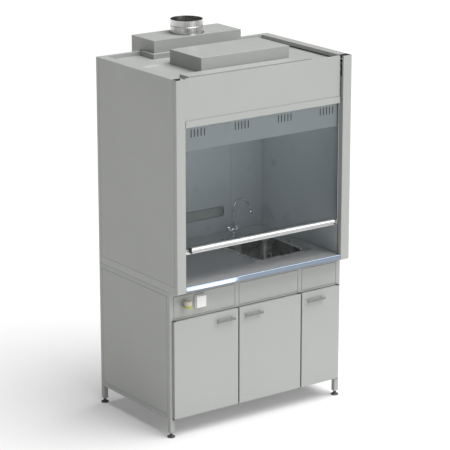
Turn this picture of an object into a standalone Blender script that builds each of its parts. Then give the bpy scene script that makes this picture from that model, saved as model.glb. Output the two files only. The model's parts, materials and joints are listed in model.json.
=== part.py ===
"""A ducted fume hood with a sink, on a base cabinet with three doors.

Metres, +Z up. The shapes are laid out with x = 0 on the middle plane, y = 0 on the front face of the
columns (+y to the back) and z = 0 on the floor. Every object is then moved by SHIFT, which puts the
origin under the middle of the whole hood.
"""
import math

import bmesh
import bpy
from mathutils import Matrix, Vector

# ---- driving dimensions -------------------------------------------------------------------------
WIDTH = 1.280
DEPTH = 0.850
HEIGHT = 2.200
SHEET = 0.0015            # folded sheet steel
GAP = 0.0003              # between pieces that touch
FIT = 0.0006              # around a pin or a panel edge
JOINT_LINE = 0.0015       # around a fascia panel

# base cabinet
BASE_SETBACK = 0.085      # base front behind the columns' front
BASE_TOP = 0.913
TUBE = 0.030
FOOT_HEIGHT = 0.0275
SIDE_RAIL_BOTTOM = 0.111
FASCIA_BAND = 0.1995      # from the base top to the lower edge of the rail under the fascia
BAY_WIDTH = 0.446         # left and middle bay; the right bay takes the rest
DOOR_THICK = 0.018
DOOR_LAP = 0.008          # a door's lower edge above the frame's lower edge
DOOR_TOP_LAP = 0.0185     # a door's upper edge above its rail's lower edge
DOOR_STANDOFF = 0.002     # between a door's back and the frame
DOOR_SIDE_LAP = 0.0105    # how far an outer door edge covers its leg
DOOR_SPLIT = 0.010        # between two doors, in front of a stile
HINGE_INSET = 0.0055      # hinge axis from the door's edge
HINGE_BEHIND_FACE = 0.0085
HINGE_ROD_RADIUS = 0.0025
HINGE_LUG = 0.0035
HINGE_LUG_HALF = 0.009
HANDLE_LENGTH = 0.138
HANDLE_HEIGHT = 0.015
HANDLE_PROUD = 0.021
HANDLE_BAR = 0.006
HANDLE_POST = 0.009
HANDLE_POST_INSET = 0.020
HANDLE_DROP = 0.054       # handle axis below the door's upper edge
HANDLE_EDGE = 0.030       # handle end from the door's opening edge

# levelling feet
FOOT_RADIUS = 0.024
FOOT_STEM_RADIUS = 0.006
FOOT_STEM_LENGTH = 0.045  # above the leg's lower end, inside the leg

# worktop, sink and services
WORKTOP_THICK = 0.037
TRIM_DROP = 0.025         # trim's lower edge below the worktop's surface
TRIM_LIP = 0.005          # trim's upper edge above it
TRIM_THICK = 0.0115
TRIM_BEVEL = 0.003
SHOULDER_Y = 0.0503       # front edge of the chamber walls and of the worktop's full width
SINK_X = 0.288
SINK_WIDTH = 0.440
SINK_FRONT = 0.195
SINK_DEPTH = 0.507        # front to back of the sink's deck
DECK_SIDE = 0.040         # deck beside the bowl
DECK_FRONT = 0.018
DECK_BACK = 0.110
BOWL_DEPTH = 0.170
BOWL_CORNER = 0.055
SINK_SHEET = 0.0012
SINK_LIP = 0.004          # rounded edge between deck and bowl
SINK_ROUNDING = 0.022     # between the bowl's wall and its floor
DECK_RISE = 0.0025        # deck's surface above the worktop
DECK_CORNER = 0.012
HOLE_MARGIN = 0.004       # worktop's cut-out around the bowl
DRAIN_RADIUS = 0.030
DRAIN_RECESS = 0.003
TAIL_RADIUS = 0.018
TRAP_RADIUS = 0.034
OUTLET_RADIUS = 0.016
OUTLET_BEND = 0.040
FAUCET_CLEAR = 0.027      # faucet axis behind the sink's deck
FAUCET_RISE = 0.155       # straight riser above the worktop
FAUCET_SHANK = 0.012
FAUCET_BODY_TOP = 0.052   # above the worktop
FAUCET_BRANCH = 0.022     # where the handles' necks branch off, above the worktop
NECK_LENGTH = 0.038
NECK_RADIUS = 0.010
HANDLE_REACH = 0.018      # of a cross handle's bars
HUB_MIDDLE = 0.012
SPOUT_REACH = 0.200
SPOUT_ARCH = 0.112
SPOUT_TUBE_RADIUS = 0.0070
SPOUT_SWEEP = 152.0       # degrees of arch
VALVE_INSET = 0.1095      # spindle from the hood's side
VALVE_DROP = 0.0755       # middle of the valve body below the base top
VALVE_PROUD = 0.030       # spindle in front of the fascia
VALVE_RADIUS = 0.0245
VALVE_HALF_HEIGHT = 0.013
VALVE_SHANK = 0.009
KNOB_RADIUS = 0.0265
KNOB_HEIGHT = 0.016
SOCKET_INSET = 0.2143
SOCKET_DROP = 0.0855
SOCKET_WIDTH = 0.076
SOCKET_HEIGHT = 0.081
SOCKET_DEPTH = 0.014
SOCKET_CORNER = 0.008
SOCKET_WELL = 0.026
SOCKET_BACK = 0.024       # back box behind the cover
SOCKET_CUP = 0.0195
SOCKET_CUP_DEPTH = 0.013
PIN_HALF_PITCH = 0.0095
PIN_RADIUS = 0.0025
PIN_DEPTH = 0.016
LID_DEPTH = 0.010
LID_MARGIN = 0.004
LID_WALL = 0.0025

# upper unit
UNIT_DROP = 0.030         # lower end of the columns below the worktop's surface
WALL_LIFT = 0.0093        # lower edge of the outer side walls above it
COLUMN_WIDTH = 0.062
POST_WIDTH = 0.030        # side face of the corner posts
LINING_STEP = 0.010       # chamber wall outside the column's inner face
LINING_LEDGE = 0.020      # its foot on the worktop
BAFFLE_STANDOFF = 0.021   # baffle's face in front of the back
BAFFLE_GAP = 0.070        # baffle's upper edge below the top
HEADER_Y = 0.018
HEADER_GAP = 0.012        # from the header's ends to the columns
HEADER_DROP = 0.250
HEADER_RETURN = 0.010
RAIL_HEIGHT = 0.040
RAIL_PROUD = 0.005
BULKHEAD_Y = 0.048
BULKHEAD_DROP = 0.439
BULKHEAD_FOLD = 0.020
SLOT_GROUP_PITCH = 0.316
SLOT_PITCH = 0.0236
SLOT_WIDTH = 0.007
SLOT_OFFSET = 0.016       # the slot groups lie this far right of the middle
SLOT_DROP = 0.312         # upper end of the bulkhead's slots below the top
SLOT_LENGTH = 0.048
BAFFLE_SLOT_HALF = 0.285
BAFFLE_SLOT_LIFT = 0.113  # above the worktop
BAFFLE_SLOT_HEIGHT = 0.062
BAFFLE_SLOT_CORNER = 0.020
FLANGE = 0.063            # top flange of the side walls
ROOF_RECESS = 0.030       # front part of the roof below the top
ROOF_STEP = 0.007
ROOF_STEP_Y = 0.535
ROOF_STEP_RUN = 0.004
STIFFENER_X = -0.040
STIFFENER_HALF = 0.450
STIFFENER_FRONT = 0.095
STIFFENER_BACK = 0.185
STIFFENER_DROP = 0.010    # its top below the hood's top

# lamp, exhaust
LAMP_HALF = 0.322
LAMP_FRONT = 0.205
LAMP_BACK = 0.530
LAMP_RISE = 0.060         # above the top
LAMP_COVER = 0.004
LAMP_LEDGE = 0.025        # roof sheet under the lamp housing's edge
COVER_MARGIN = 0.012      # from the housing's edge to the cover's
PLENUM_HALF = 0.322
PLENUM_DEPTH = 0.247
PLENUM_OVERHANG = 0.094   # behind the back wall
PLENUM_CLEAR = 0.0055     # under the plenum box, above the top
PLENUM_HEIGHT = 0.076
PLENUM_TAIL = 0.060       # how far the box reaches down behind the back wall
COLLAR_HALF = 0.345
COLLAR_DEPTH = 0.138
COLLAR_INSET = 0.042      # collar's rear face in front of the back
COLLAR_REST = 0.015       # roof sheet under the collar
DUCT_RADIUS = 0.100
DUCT_INSET = 0.030
DUCT_HEIGHT = 0.0845
DUCT_FLANGE = 0.010
DUCT_BEAD = 0.0025
DUCT_BEAD_DROP = 0.040    # bead below the spigot's upper end

# sash and its balance
SASH_LIFT = 0.194         # open height at rest, above the worktop
SASH_TOP_DROP = 0.081
SASH_Y = 0.0300
SASH_THICK = 0.0130
SASH_STILE = 0.018
SASH_RAIL = 0.028
SASH_TOP_RAIL = 0.020
GLASS_THICK = 0.005
GRIP_INSET = 0.0525       # from the sash's ends to the handle's
GRIP_FRONT = 0.002
GRIP_LIFT = 0.011
GRIP_HEIGHT = 0.032
GUIDE_DEPTH = 0.026       # groove for the sash edge, outward from the column's inner face
GUIDE_CLEAR = 0.0015
ANCHOR_LIFT = 0.010
ANCHOR_HEIGHT = 0.030
ANCHOR_HALF = 0.004
CABLE_RADIUS = 0.0015
CABLE_INSET = 0.0195      # cable outside the column's inner face
PULLEY_RADIUS = 0.035
PULLEY_RIM = 0.003
PULLEY_WIDTH = 0.010
PULLEY_DROP = 0.080
AXLE_RADIUS = 0.004
AXLE_END = 0.002          # axle past the pulley
WEIGHT_DROP = 0.330
WEIGHT_HEIGHT = 0.290
WEIGHT_DEPTH = 0.090
WEIGHT_WALL = 0.004       # from the counterweight to the lining and to the side wall

# ---- derived dimensions -------------------------------------------------------------------------
HALF = WIDTH / 2
INNER = HALF - COLUMN_WIDTH
SHIFT = Vector((0.0, -(DEPTH + PLENUM_OVERHANG) / 2, 0.0))
DOOR_RAIL_BOTTOM = BASE_TOP - FASCIA_BAND
DOOR_BOTTOM = SIDE_RAIL_BOTTOM + DOOR_LAP
DOOR_TOP = DOOR_RAIL_BOTTOM + DOOR_TOP_LAP
DOOR_BACK_Y = BASE_SETBACK - DOOR_STANDOFF
DOOR_FRONT_Y = DOOR_BACK_Y - DOOR_THICK
HANDLE_Z = DOOR_TOP - HANDLE_DROP
STILE_LEFT = -HALF + TUBE + BAY_WIDTH
STILE_RIGHT = STILE_LEFT + TUBE + BAY_WIDTH
WORKTOP_TOP = BASE_TOP + WORKTOP_THICK
TRIM_BOTTOM = WORKTOP_TOP - TRIM_DROP
TRIM_TOP = WORKTOP_TOP + TRIM_LIP
SINK_BACK = SINK_FRONT + SINK_DEPTH
SINK_X0 = SINK_X - SINK_WIDTH / 2
SINK_X1 = SINK_X + SINK_WIDTH / 2
BOWL_X0 = SINK_X0 + DECK_SIDE
BOWL_X1 = SINK_X1 - DECK_SIDE
BOWL_FRONT = SINK_FRONT + DECK_FRONT
BOWL_BACK = SINK_BACK - DECK_BACK
DRAIN_Y = (BOWL_FRONT + BOWL_BACK) / 2
FAUCET_Y = SINK_BACK + FAUCET_CLEAR
VALVE_X = -HALF + VALVE_INSET
VALVE_Z = BASE_TOP - VALVE_DROP
SOCKET_X = -HALF + SOCKET_INSET
SOCKET_Z = BASE_TOP - SOCKET_DROP
UNIT_BOTTOM = WORKTOP_TOP - UNIT_DROP
WALL_BOTTOM = WORKTOP_TOP + WALL_LIFT
LINING_X = INNER + LINING_STEP
BAFFLE_Y = DEPTH - BAFFLE_STANDOFF
BAFFLE_TOP = HEIGHT - BAFFLE_GAP
BAFFLE_SLOT_LOW = WORKTOP_TOP + BAFFLE_SLOT_LIFT
BAFFLE_SLOT_HIGH = BAFFLE_SLOT_LOW + BAFFLE_SLOT_HEIGHT
HEADER_HALF = INNER - HEADER_GAP
HEADER_BOTTOM = HEIGHT - HEADER_DROP
RAIL_BOTTOM = HEADER_BOTTOM - RAIL_HEIGHT
BULKHEAD_BOTTOM = HEIGHT - BULKHEAD_DROP
SLOT_HIGH = HEIGHT - SLOT_DROP
SLOT_LOW = SLOT_HIGH - SLOT_LENGTH
ROOF_FRONT_Z = HEIGHT - ROOF_RECESS
ROOF_REAR_Z = ROOF_FRONT_Z + ROOF_STEP
LAMP_TOP = HEIGHT + LAMP_RISE
PLENUM_BACK = DEPTH + PLENUM_OVERHANG
PLENUM_FRONT = PLENUM_BACK - PLENUM_DEPTH
PLENUM_BOTTOM = HEIGHT + PLENUM_CLEAR
PLENUM_TOP = PLENUM_BOTTOM + PLENUM_HEIGHT
COLLAR_BACK = DEPTH - COLLAR_INSET
COLLAR_FRONT = COLLAR_BACK - COLLAR_DEPTH
DUCT_Y = DEPTH - DUCT_INSET
DUCT_TOP = PLENUM_TOP + DUCT_HEIGHT
SASH_BOTTOM = WORKTOP_TOP + SASH_LIFT
SASH_TOP = HEIGHT - SASH_TOP_DROP
SASH_HALF = LINING_X - GAP
GRIP_HALF = SASH_HALF - GRIP_INSET
GRIP_BOTTOM = SASH_BOTTOM + GRIP_LIFT
GRIP_TOP = GRIP_BOTTOM + GRIP_HEIGHT
CABLE_X = INNER + CABLE_INSET
CABLE_FRONT_Y = SASH_Y + SASH_THICK / 2
PULLEY_Y = CABLE_FRONT_Y + PULLEY_RADIUS
CABLE_REAR_Y = PULLEY_Y + PULLEY_RADIUS
PULLEY_Z = HEIGHT - PULLEY_DROP
WEIGHT_TOP = HEIGHT - WEIGHT_DROP
WEIGHT_FRONT = CABLE_REAR_Y - WEIGHT_DEPTH / 2
WEIGHT_BACK = CABLE_REAR_Y + WEIGHT_DEPTH / 2
SEGMENTS = 32
SMALL_SEGMENTS = 16

for old in list(bpy.data.objects):
    bpy.data.objects.remove(old, do_unlink=True)


# ---- materials ----------------------------------------------------------------------------------
def material(name, colour, roughness, metallic=0.0, alpha=1.0):
    made = bpy.data.materials.new(name)
    made.use_nodes = True
    shader = made.node_tree.nodes["Principled BSDF"]
    shader.inputs["Base Color"].default_value = (*colour, 1.0)
    shader.inputs["Roughness"].default_value = roughness
    shader.inputs["Metallic"].default_value = metallic
    shader.inputs["Alpha"].default_value = alpha
    return made


GREY_PAINT = material("grey_paint", (0.47, 0.48, 0.46), 0.45)
FRAME_PAINT = material("frame_paint", (0.45, 0.46, 0.44), 0.45)
LINER_PAINT = material("liner_paint", (0.40, 0.42, 0.42), 0.40)
WORKTOP_STONE = material("worktop_stone", (0.12, 0.125, 0.13), 0.35)
STEEL = material("stainless_steel", (0.60, 0.60, 0.59), 0.25, 1.0)
CHROME = material("chrome", (0.80, 0.80, 0.80), 0.08, 1.0)
ALUMINIUM = material("aluminium", (0.78, 0.79, 0.77), 0.35, 0.6)
GLASS = material("tinted_glass", (0.35, 0.42, 0.45), 0.05, 0.0, 0.35)
OPAL = material("opal_glass", (0.80, 0.82, 0.82), 0.30)
DARK_PLASTIC = material("dark_plastic", (0.10, 0.10, 0.11), 0.45)
HANDLE_GREY = material("handle_grey", (0.20, 0.205, 0.21), 0.40)
WHITE_PLASTIC = material("white_plastic", (0.82, 0.82, 0.81), 0.35)
BEIGE_PLASTIC = material("beige_plastic", (0.62, 0.60, 0.54), 0.40)
GREEN_PLASTIC = material("green_plastic", (0.42, 0.46, 0.12), 0.35)
CAST_IRON = material("cast_iron", (0.08, 0.08, 0.08), 0.60, 0.5)
CABLE_STEEL = material("cable_steel", (0.35, 0.35, 0.35), 0.35, 1.0)
WASTE_PLASTIC = material("waste_plastic", (0.70, 0.70, 0.69), 0.40)


# ---- mesh helpers -------------------------------------------------------------------------------
def new_object(name, mesh, finish, pivot=(0.0, 0.0, 0.0), smooth=False, closed=True):
    """Wraps a bmesh built in layout coordinates as an object whose origin is the pivot."""
    if closed:
        bmesh.ops.recalc_face_normals(mesh, faces=mesh.faces)
    bmesh.ops.translate(mesh, verts=mesh.verts, vec=-Vector(pivot))
    data = bpy.data.meshes.new(name)
    mesh.to_mesh(data)
    mesh.free()
    if smooth:
        data.shade_smooth()
        data.set_sharp_from_angle(angle=math.radians(35))
    data.materials.append(finish)
    made = bpy.data.objects.new(name, data)
    made.location = Vector(pivot) + SHIFT
    bpy.context.collection.objects.link(made)
    return made


def add_prism(mesh, outline, axis, low, high):
    """A closed outline of (u, v) points, extruded along x, y or z. u, v are the other two axes in order."""
    def place(u, v, w):
        return {"x": (w, u, v), "y": (u, w, v), "z": (u, v, w)}[axis]
    lower = [mesh.verts.new(place(u, v, low)) for u, v in outline]
    upper = [mesh.verts.new(place(u, v, high)) for u, v in outline]
    mesh.faces.new(lower)
    mesh.faces.new(list(reversed(upper)))
    count = len(outline)
    for i in range(count):
        j = (i + 1) % count
        mesh.faces.new((lower[i], lower[j], upper[j], upper[i]))


def add_box(mesh, low, high):
    rectangle = [(low[0], low[1]), (high[0], low[1]), (high[0], high[1]), (low[0], high[1])]
    add_prism(mesh, rectangle, "z", low[2], high[2])


def add_turned(mesh, profile, centre, direction=(0, 0, 1), segments=SEGMENTS, ring=False):
    """Turns (radius, height) points about an axis. A solid profile starts and ends at radius 0."""
    turn = Vector(direction).to_track_quat("Z", "Y").to_matrix()
    loops = []
    for radius, height in profile:
        if radius < 1e-9:
            loops.append([mesh.verts.new(Vector(centre) + turn @ Vector((0, 0, height)))])
            continue
        loop = []
        for i in range(segments):
            angle = 2 * math.pi * i / segments
            spot = Vector((radius * math.cos(angle), radius * math.sin(angle), height))
            loop.append(mesh.verts.new(Vector(centre) + turn @ spot))
        loops.append(loop)
    pairs = list(zip(loops, loops[1:]))
    if ring:
        pairs.append((loops[-1], loops[0]))
    for a, b in pairs:
        for i in range(segments):
            j = (i + 1) % segments
            corners = [a[i % len(a)], a[j % len(a)], b[j % len(b)], b[i % len(b)]]
            mesh.faces.new(list(dict.fromkeys(corners)))


def add_swept(mesh, path, radii, sides=SMALL_SEGMENTS):
    """A round bar along a path, with one radius per point and flat ends."""
    points = [Vector(p) for p in path]
    side = None
    loops = []
    for i, point in enumerate(points):
        ahead = points[min(i + 1, len(points) - 1)] - points[max(i - 1, 0)]
        ahead.normalize()
        if side is None:
            side = ahead.orthogonal().normalized()
        side = (side - ahead * side.dot(ahead)).normalized()
        up = ahead.cross(side)
        loop = []
        for k in range(sides):
            angle = 2 * math.pi * k / sides
            loop.append(mesh.verts.new(point + radii[i] * (side * math.cos(angle) + up * math.sin(angle))))
        loops.append(loop)
    for a, b in zip(loops, loops[1:]):
        for k in range(sides):
            j = (k + 1) % sides
            mesh.faces.new((a[k], a[j], b[j], b[k]))
    mesh.faces.new(list(reversed(loops[0])))
    mesh.faces.new(loops[-1])


def arc(centre, radius, start, end, steps):
    """Points on a flat arc, angles in degrees."""
    turns = [math.radians(start + (end - start) * i / steps) for i in range(steps + 1)]
    return [(centre[0] + radius * math.cos(a), centre[1] + radius * math.sin(a)) for a in turns]


def rounded_rectangle(u0, u1, v0, v1, radius, steps=4):
    outline = arc((u1 - radius, v1 - radius), radius, 0, 90, steps)
    outline += arc((u0 + radius, v1 - radius), radius, 90, 180, steps)
    outline += arc((u0 + radius, v0 + radius), radius, 180, 270, steps)
    outline += arc((u1 - radius, v0 + radius), radius, 270, 360, steps)
    return outline


def folded(path, thick):
    """The outline of a sheet folded along a path; the sheet lies to the left of the path."""
    points = [Vector(p) for p in path]
    offset = []
    for i, point in enumerate(points):
        before = (points[i] - points[i - 1]).normalized() if i > 0 else None
        after = (points[i + 1] - points[i]).normalized() if i < len(points) - 1 else None
        first = before or after
        second = after or before
        normal_a = Vector((-first.y, first.x))
        normal_b = Vector((-second.y, second.x))
        mitre = (normal_a + normal_b).normalized()
        offset.append(point + mitre * (thick / mitre.dot(normal_a)))
    return [tuple(p) for p in points] + [tuple(p) for p in reversed(offset)]


def helper(name, build):
    """A hidden operand for a Boolean."""
    mesh = bmesh.new()
    build(mesh)
    made = new_object(name, mesh, GREY_PAINT)
    made.hide_render = True
    made.display_type = "WIRE"
    return made


def combine(target, operation, name, build):
    operand = helper(target.name + "_" + name, build)
    step = target.modifiers.new(name, "BOOLEAN")
    step.operation = operation
    step.solver = "EXACT"
    step.object = operand


def cut(target, name, build):
    combine(target, "DIFFERENCE", name, build)


def join(target, name, build):
    combine(target, "UNION", name, build)


def cut_box(target, name, low, high):
    cut(target, name, lambda mesh: add_box(mesh, low, high))


def mirrored(points, side):
    """Points of an x, y or x, z outline, on the right as given or on the left as a mirror image."""
    if side > 0:
        return list(points)
    return [(-p[0], p[1]) for p in reversed(points)]


def span(side, a, b):
    """The x range from a to b on the right side, or its mirror image on the left."""
    return (a, b) if side > 0 else (-b, -a)


def box_object(name, low, high, finish, bevel=0.0, pivot=(0.0, 0.0, 0.0)):
    mesh = bmesh.new()
    add_box(mesh, low, high)
    made = new_object(name, mesh, finish, pivot)
    if bevel:
        soften(made, bevel)
    return made


def soften(target, width, segments=1):
    step = target.modifiers.new("soft_edges", "BEVEL")
    step.width = width
    step.segments = segments
    step.limit_method = "ANGLE"
    step.angle_limit = math.radians(40)


def tray(name, x0, x1, z0, z1, front, depth, finish, pivot=(0.0, 0.0, 0.0)):
    """A sheet panel in the x, z plane with its four edges folded back."""
    mesh = bmesh.new()
    add_box(mesh, (x0, front, z0), (x1, front + depth, z1))
    made = new_object(name, mesh, finish, pivot)
    back = front + depth + SHEET
    cut_box(made, "hollow", (x0 + SHEET, front + SHEET, z0 + SHEET), (x1 - SHEET, back, z1 - SHEET))
    return made


SIDES = (("left", -1), ("right", 1))


# ---- base cabinet -------------------------------------------------------------------------------
def base_side_frames():
    for label, side in SIDES:
        front, back = BASE_SETBACK + TUBE, DEPTH - TUBE
        x0, x1 = span(side, HALF - TUBE, HALF)
        low = (x0, BASE_SETBACK, FOOT_HEIGHT)
        frame = box_object("base_frame_" + label, low, (x1, DEPTH, BASE_TOP), FRAME_PAINT)
        cut_box(frame, "window", (x0 - TUBE, front, SIDE_RAIL_BOTTOM + TUBE), (x1 + TUBE, back, BASE_TOP - TUBE))
        cut_box(frame, "toe_space", (x0 - TUBE, front, 0.0), (x1 + TUBE, back, SIDE_RAIL_BOTTOM))
        radius = FOOT_STEM_RADIUS + FIT
        depth = FOOT_STEM_LENGTH + FOOT_RADIUS
        insert = [(0, -FOOT_HEIGHT), (radius, -FOOT_HEIGHT), (radius, depth), (0, depth)]
        for end in ("front", "rear"):
            spot = foot_spot(end, side)
            cut(frame, end + "_insert", lambda mesh, s=spot: add_turned(mesh, insert, s, segments=SMALL_SEGMENTS))
        side_panel(label, side, front + GAP, back - GAP)


def side_panel(label, side, front, back):
    """A sheet panel in the frame's window, with its four edges folded inwards."""
    low_z, high_z = SIDE_RAIL_BOTTOM + TUBE + GAP, BASE_TOP - TUBE - GAP
    x0, x1 = span(side, HALF - TUBE / 2, HALF)
    panel = box_object("base_panel_" + label, (x0, front, low_z), (x1, back, high_z), GREY_PAINT)
    x0, x1 = span(side, HALF - TUBE, HALF - SHEET)
    cut_box(panel, "hollow", (x0, front + SHEET, low_z + SHEET), (x1, back - SHEET, high_z - SHEET))


def foot_spot(end, side):
    y = BASE_SETBACK + TUBE / 2 if end == "front" else DEPTH - TUBE / 2
    return (side * (HALF - TUBE / 2), y, FOOT_HEIGHT)


def base_front_frame():
    half = HALF - TUBE - GAP
    low = (-half, BASE_SETBACK, SIDE_RAIL_BOTTOM)
    frame = box_object("base_front_frame", low, (half, BASE_SETBACK + TUBE, BASE_TOP), FRAME_PAINT)
    bays = ((-half - TUBE, STILE_LEFT), (STILE_LEFT + TUBE, STILE_RIGHT), (STILE_RIGHT + TUBE, half + TUBE))
    rows = ((SIDE_RAIL_BOTTOM + TUBE, DOOR_RAIL_BOTTOM), (DOOR_RAIL_BOTTOM + TUBE, BASE_TOP - TUBE))
    for i, (x0, x1) in enumerate(bays):
        for j, (z0, z1) in enumerate(rows):
            cut_box(frame, "bay_%d_%d" % (i, j), (x0, 0.0, z0), (x1, BASE_SETBACK + 2 * TUBE, z1))
    labels = ("left", "middle", "right")
    for label, (x0, x1) in zip(labels, bays):
        x0 = max(x0, -half) + JOINT_LINE
        x1 = min(x1, half) - JOINT_LINE
        z0 = DOOR_RAIL_BOTTOM + TUBE + JOINT_LINE
        z1 = BASE_TOP - TUBE - JOINT_LINE
        panel = tray("fascia_" + label, x0, x1, z0, z1, BASE_SETBACK, TUBE / 2, GREY_PAINT)
        if label == "left":
            shank = [(0, -TUBE), (VALVE_SHANK + FIT, -TUBE), (VALVE_SHANK + FIT, TUBE), (0, TUBE)]
            spot = (VALVE_X, BASE_SETBACK, VALVE_Z)
            cut(panel, "valve_hole", lambda mesh: add_turned(mesh, shank, spot, (0, 1, 0), SMALL_SEGMENTS))
            well = SOCKET_WELL + FIT
            cut_box(panel, "socket_hole", (SOCKET_X - well, 0.0, SOCKET_Z - well),
                    (SOCKET_X + well, BASE_SETBACK + TUBE, SOCKET_Z + well))


def base_liner():
    """Cabinet floor and back, folded from one sheet; the floor lies on the lower side rails."""
    floor = SIDE_RAIL_BOTTOM + TUBE + GAP
    front = BASE_SETBACK + TUBE + GAP
    back = DEPTH - TUBE / 2
    outline = folded([(front, floor), (back, floor), (back, BASE_TOP - GAP)], SHEET)
    half = HALF - TUBE / 2 - GAP
    mesh = bmesh.new()
    add_prism(mesh, outline, "x", -half, half)
    liner = new_object("base_liner", mesh, LINER_PAINT)
    for label, side in SIDES:
        x0, x1 = span(side, HALF - TUBE - FIT, HALF)
        cut_box(liner, label + "_notch", (x0, DEPTH - TUBE - FIT, 0.0), (x1, DEPTH, BASE_TOP + TUBE))


def doors():
    """Sheet doors on pivot rods; the lugs on a rod's ends hold it to the frame."""
    outer = HALF - TUBE + DOOR_SIDE_LAP
    split_left = STILE_LEFT + TUBE / 2
    split_right = STILE_RIGHT + TUBE / 2
    half_split = DOOR_SPLIT / 2
    spans = (("left", -outer, split_left - half_split, -1),
             ("middle", split_left + half_split, split_right - half_split, 1),
             ("right", split_right + half_split, outer, 1))
    axis_y = DOOR_FRONT_Y + HINGE_BEHIND_FACE
    for label, x0, x1, hinge_side in spans:
        axis_x = x0 + HINGE_INSET if hinge_side < 0 else x1 - HINGE_INSET
        pivot = (axis_x, axis_y, DOOR_BOTTOM)
        door = tray("door_" + label, x0, x1, DOOR_BOTTOM, DOOR_TOP, DOOR_FRONT_Y, DOOR_THICK, GREY_PAINT, pivot)
        hole = HINGE_ROD_RADIUS + FIT
        bore = [(0, -TUBE), (hole, -TUBE), (hole, DOOR_TOP), (0, DOOR_TOP)]
        cut(door, "rod_hole", lambda mesh, s=pivot, p=bore: add_turned(mesh, p, s, segments=SMALL_SEGMENTS))
        hinge(label, axis_x, axis_y)
        if hinge_side < 0:
            door_handle(label, x1 - HANDLE_EDGE - HANDLE_LENGTH, pivot)
        else:
            door_handle(label, x0 + HANDLE_EDGE, pivot)


def hinge(label, axis_x, axis_y):
    lug = HINGE_LUG
    low = DOOR_BOTTOM - FIT - lug
    high = DOOR_TOP + FIT + lug
    rod = [(0, low), (HINGE_ROD_RADIUS, low), (HINGE_ROD_RADIUS, high), (0, high)]
    mesh = bmesh.new()
    add_turned(mesh, rod, (axis_x, axis_y, 0), segments=SMALL_SEGMENTS)
    made = new_object("door_%s_hinge" % label, mesh, DARK_PLASTIC, smooth=True)
    front = DOOR_FRONT_Y + SHEET
    back = BASE_SETBACK - GAP
    for name, z in (("lower_lug", low), ("upper_lug", DOOR_TOP + FIT)):
        corner = (axis_x - HINGE_LUG_HALF, front, z)
        opposite = (axis_x + HINGE_LUG_HALF, back, z + lug)
        join(made, name, lambda mesh, a=corner, b=opposite: add_box(mesh, a, b))


def door_handle(label, x0, pivot):
    """A flat bar on two posts."""
    x1 = x0 + HANDLE_LENGTH
    back = DOOR_FRONT_Y - GAP
    front = DOOR_FRONT_Y - HANDLE_PROUD
    low = HANDLE_Z - HANDLE_HEIGHT / 2
    bar = (x1, front + HANDLE_BAR, low + HANDLE_HEIGHT)
    made = box_object("door_%s_handle" % label, (x0, front, low), bar, HANDLE_GREY, 0.0015, pivot)
    for name, x in (("post_a", x0 + HANDLE_POST_INSET), ("post_b", x1 - HANDLE_POST_INSET)):
        half = HANDLE_POST / 2
        corner = (x - half, front + HANDLE_BAR / 2, HANDLE_Z - half)
        join(made, name, lambda mesh, a=corner, b=(x + half, back, HANDLE_Z + half): add_box(mesh, a, b))


def feet():
    profile = [(0, 0), (FOOT_RADIUS, 0), (FOOT_RADIUS, 0.005), (FOOT_RADIUS * 0.6, 0.010),
               (FOOT_STEM_RADIUS * 1.6, 0.012), (FOOT_STEM_RADIUS * 1.6, 0.020), (FOOT_STEM_RADIUS, 0.020),
               (FOOT_STEM_RADIUS, FOOT_HEIGHT + FOOT_STEM_LENGTH), (0, FOOT_HEIGHT + FOOT_STEM_LENGTH)]
    for label, side in SIDES:
        for end in ("front", "rear"):
            spot = foot_spot(end, side)
            mesh = bmesh.new()
            add_turned(mesh, profile, (spot[0], spot[1], 0), segments=24)
            new_object("foot_%s_%s" % (end, label), mesh, DARK_PLASTIC, (spot[0], spot[1], 0), True)


# ---- worktop, sink, mixer and services ----------------------------------------------------------
def worktop():
    wide = HALF - SHEET - FIT
    tongue = INNER - FIT
    front = TRIM_THICK + GAP
    back = DEPTH - SHEET - FIT
    outline = [(-tongue, front), (tongue, front), (tongue, SHOULDER_Y), (wide, SHOULDER_Y), (wide, back),
               (-wide, back), (-wide, SHOULDER_Y), (-tongue, SHOULDER_Y)]
    mesh = bmesh.new()
    add_prism(mesh, outline, "z", BASE_TOP + GAP, WORKTOP_TOP)
    top = new_object("worktop", mesh, WORKTOP_STONE)
    margin = SINK_SHEET + HOLE_MARGIN
    hole = rounded_rectangle(BOWL_X0 - margin, BOWL_X1 + margin, BOWL_FRONT - margin, BOWL_BACK + margin,
                             BOWL_CORNER + margin, 6)
    cut(top, "bowl_hole", lambda mesh: add_prism(mesh, hole, "z", BASE_TOP - TUBE, WORKTOP_TOP + TUBE))
    shank = [(0, -TUBE), (FAUCET_SHANK + FIT, -TUBE), (FAUCET_SHANK + FIT, TUBE), (0, TUBE)]
    spot = (SINK_X, FAUCET_Y, WORKTOP_TOP - TUBE / 2)
    cut(top, "faucet_hole", lambda mesh: add_turned(mesh, shank, spot, segments=SMALL_SEGMENTS))
    trim = [(0.0, TRIM_BOTTOM + TRIM_BEVEL), (TRIM_BEVEL, TRIM_BOTTOM), (TRIM_THICK, TRIM_BOTTOM),
            (TRIM_THICK, TRIM_TOP), (TRIM_BEVEL, TRIM_TOP), (0.0, TRIM_TOP - TRIM_BEVEL)]
    mesh = bmesh.new()
    add_prism(mesh, trim, "x", -tongue, tongue)
    new_object("worktop_trim", mesh, STEEL)


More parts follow.
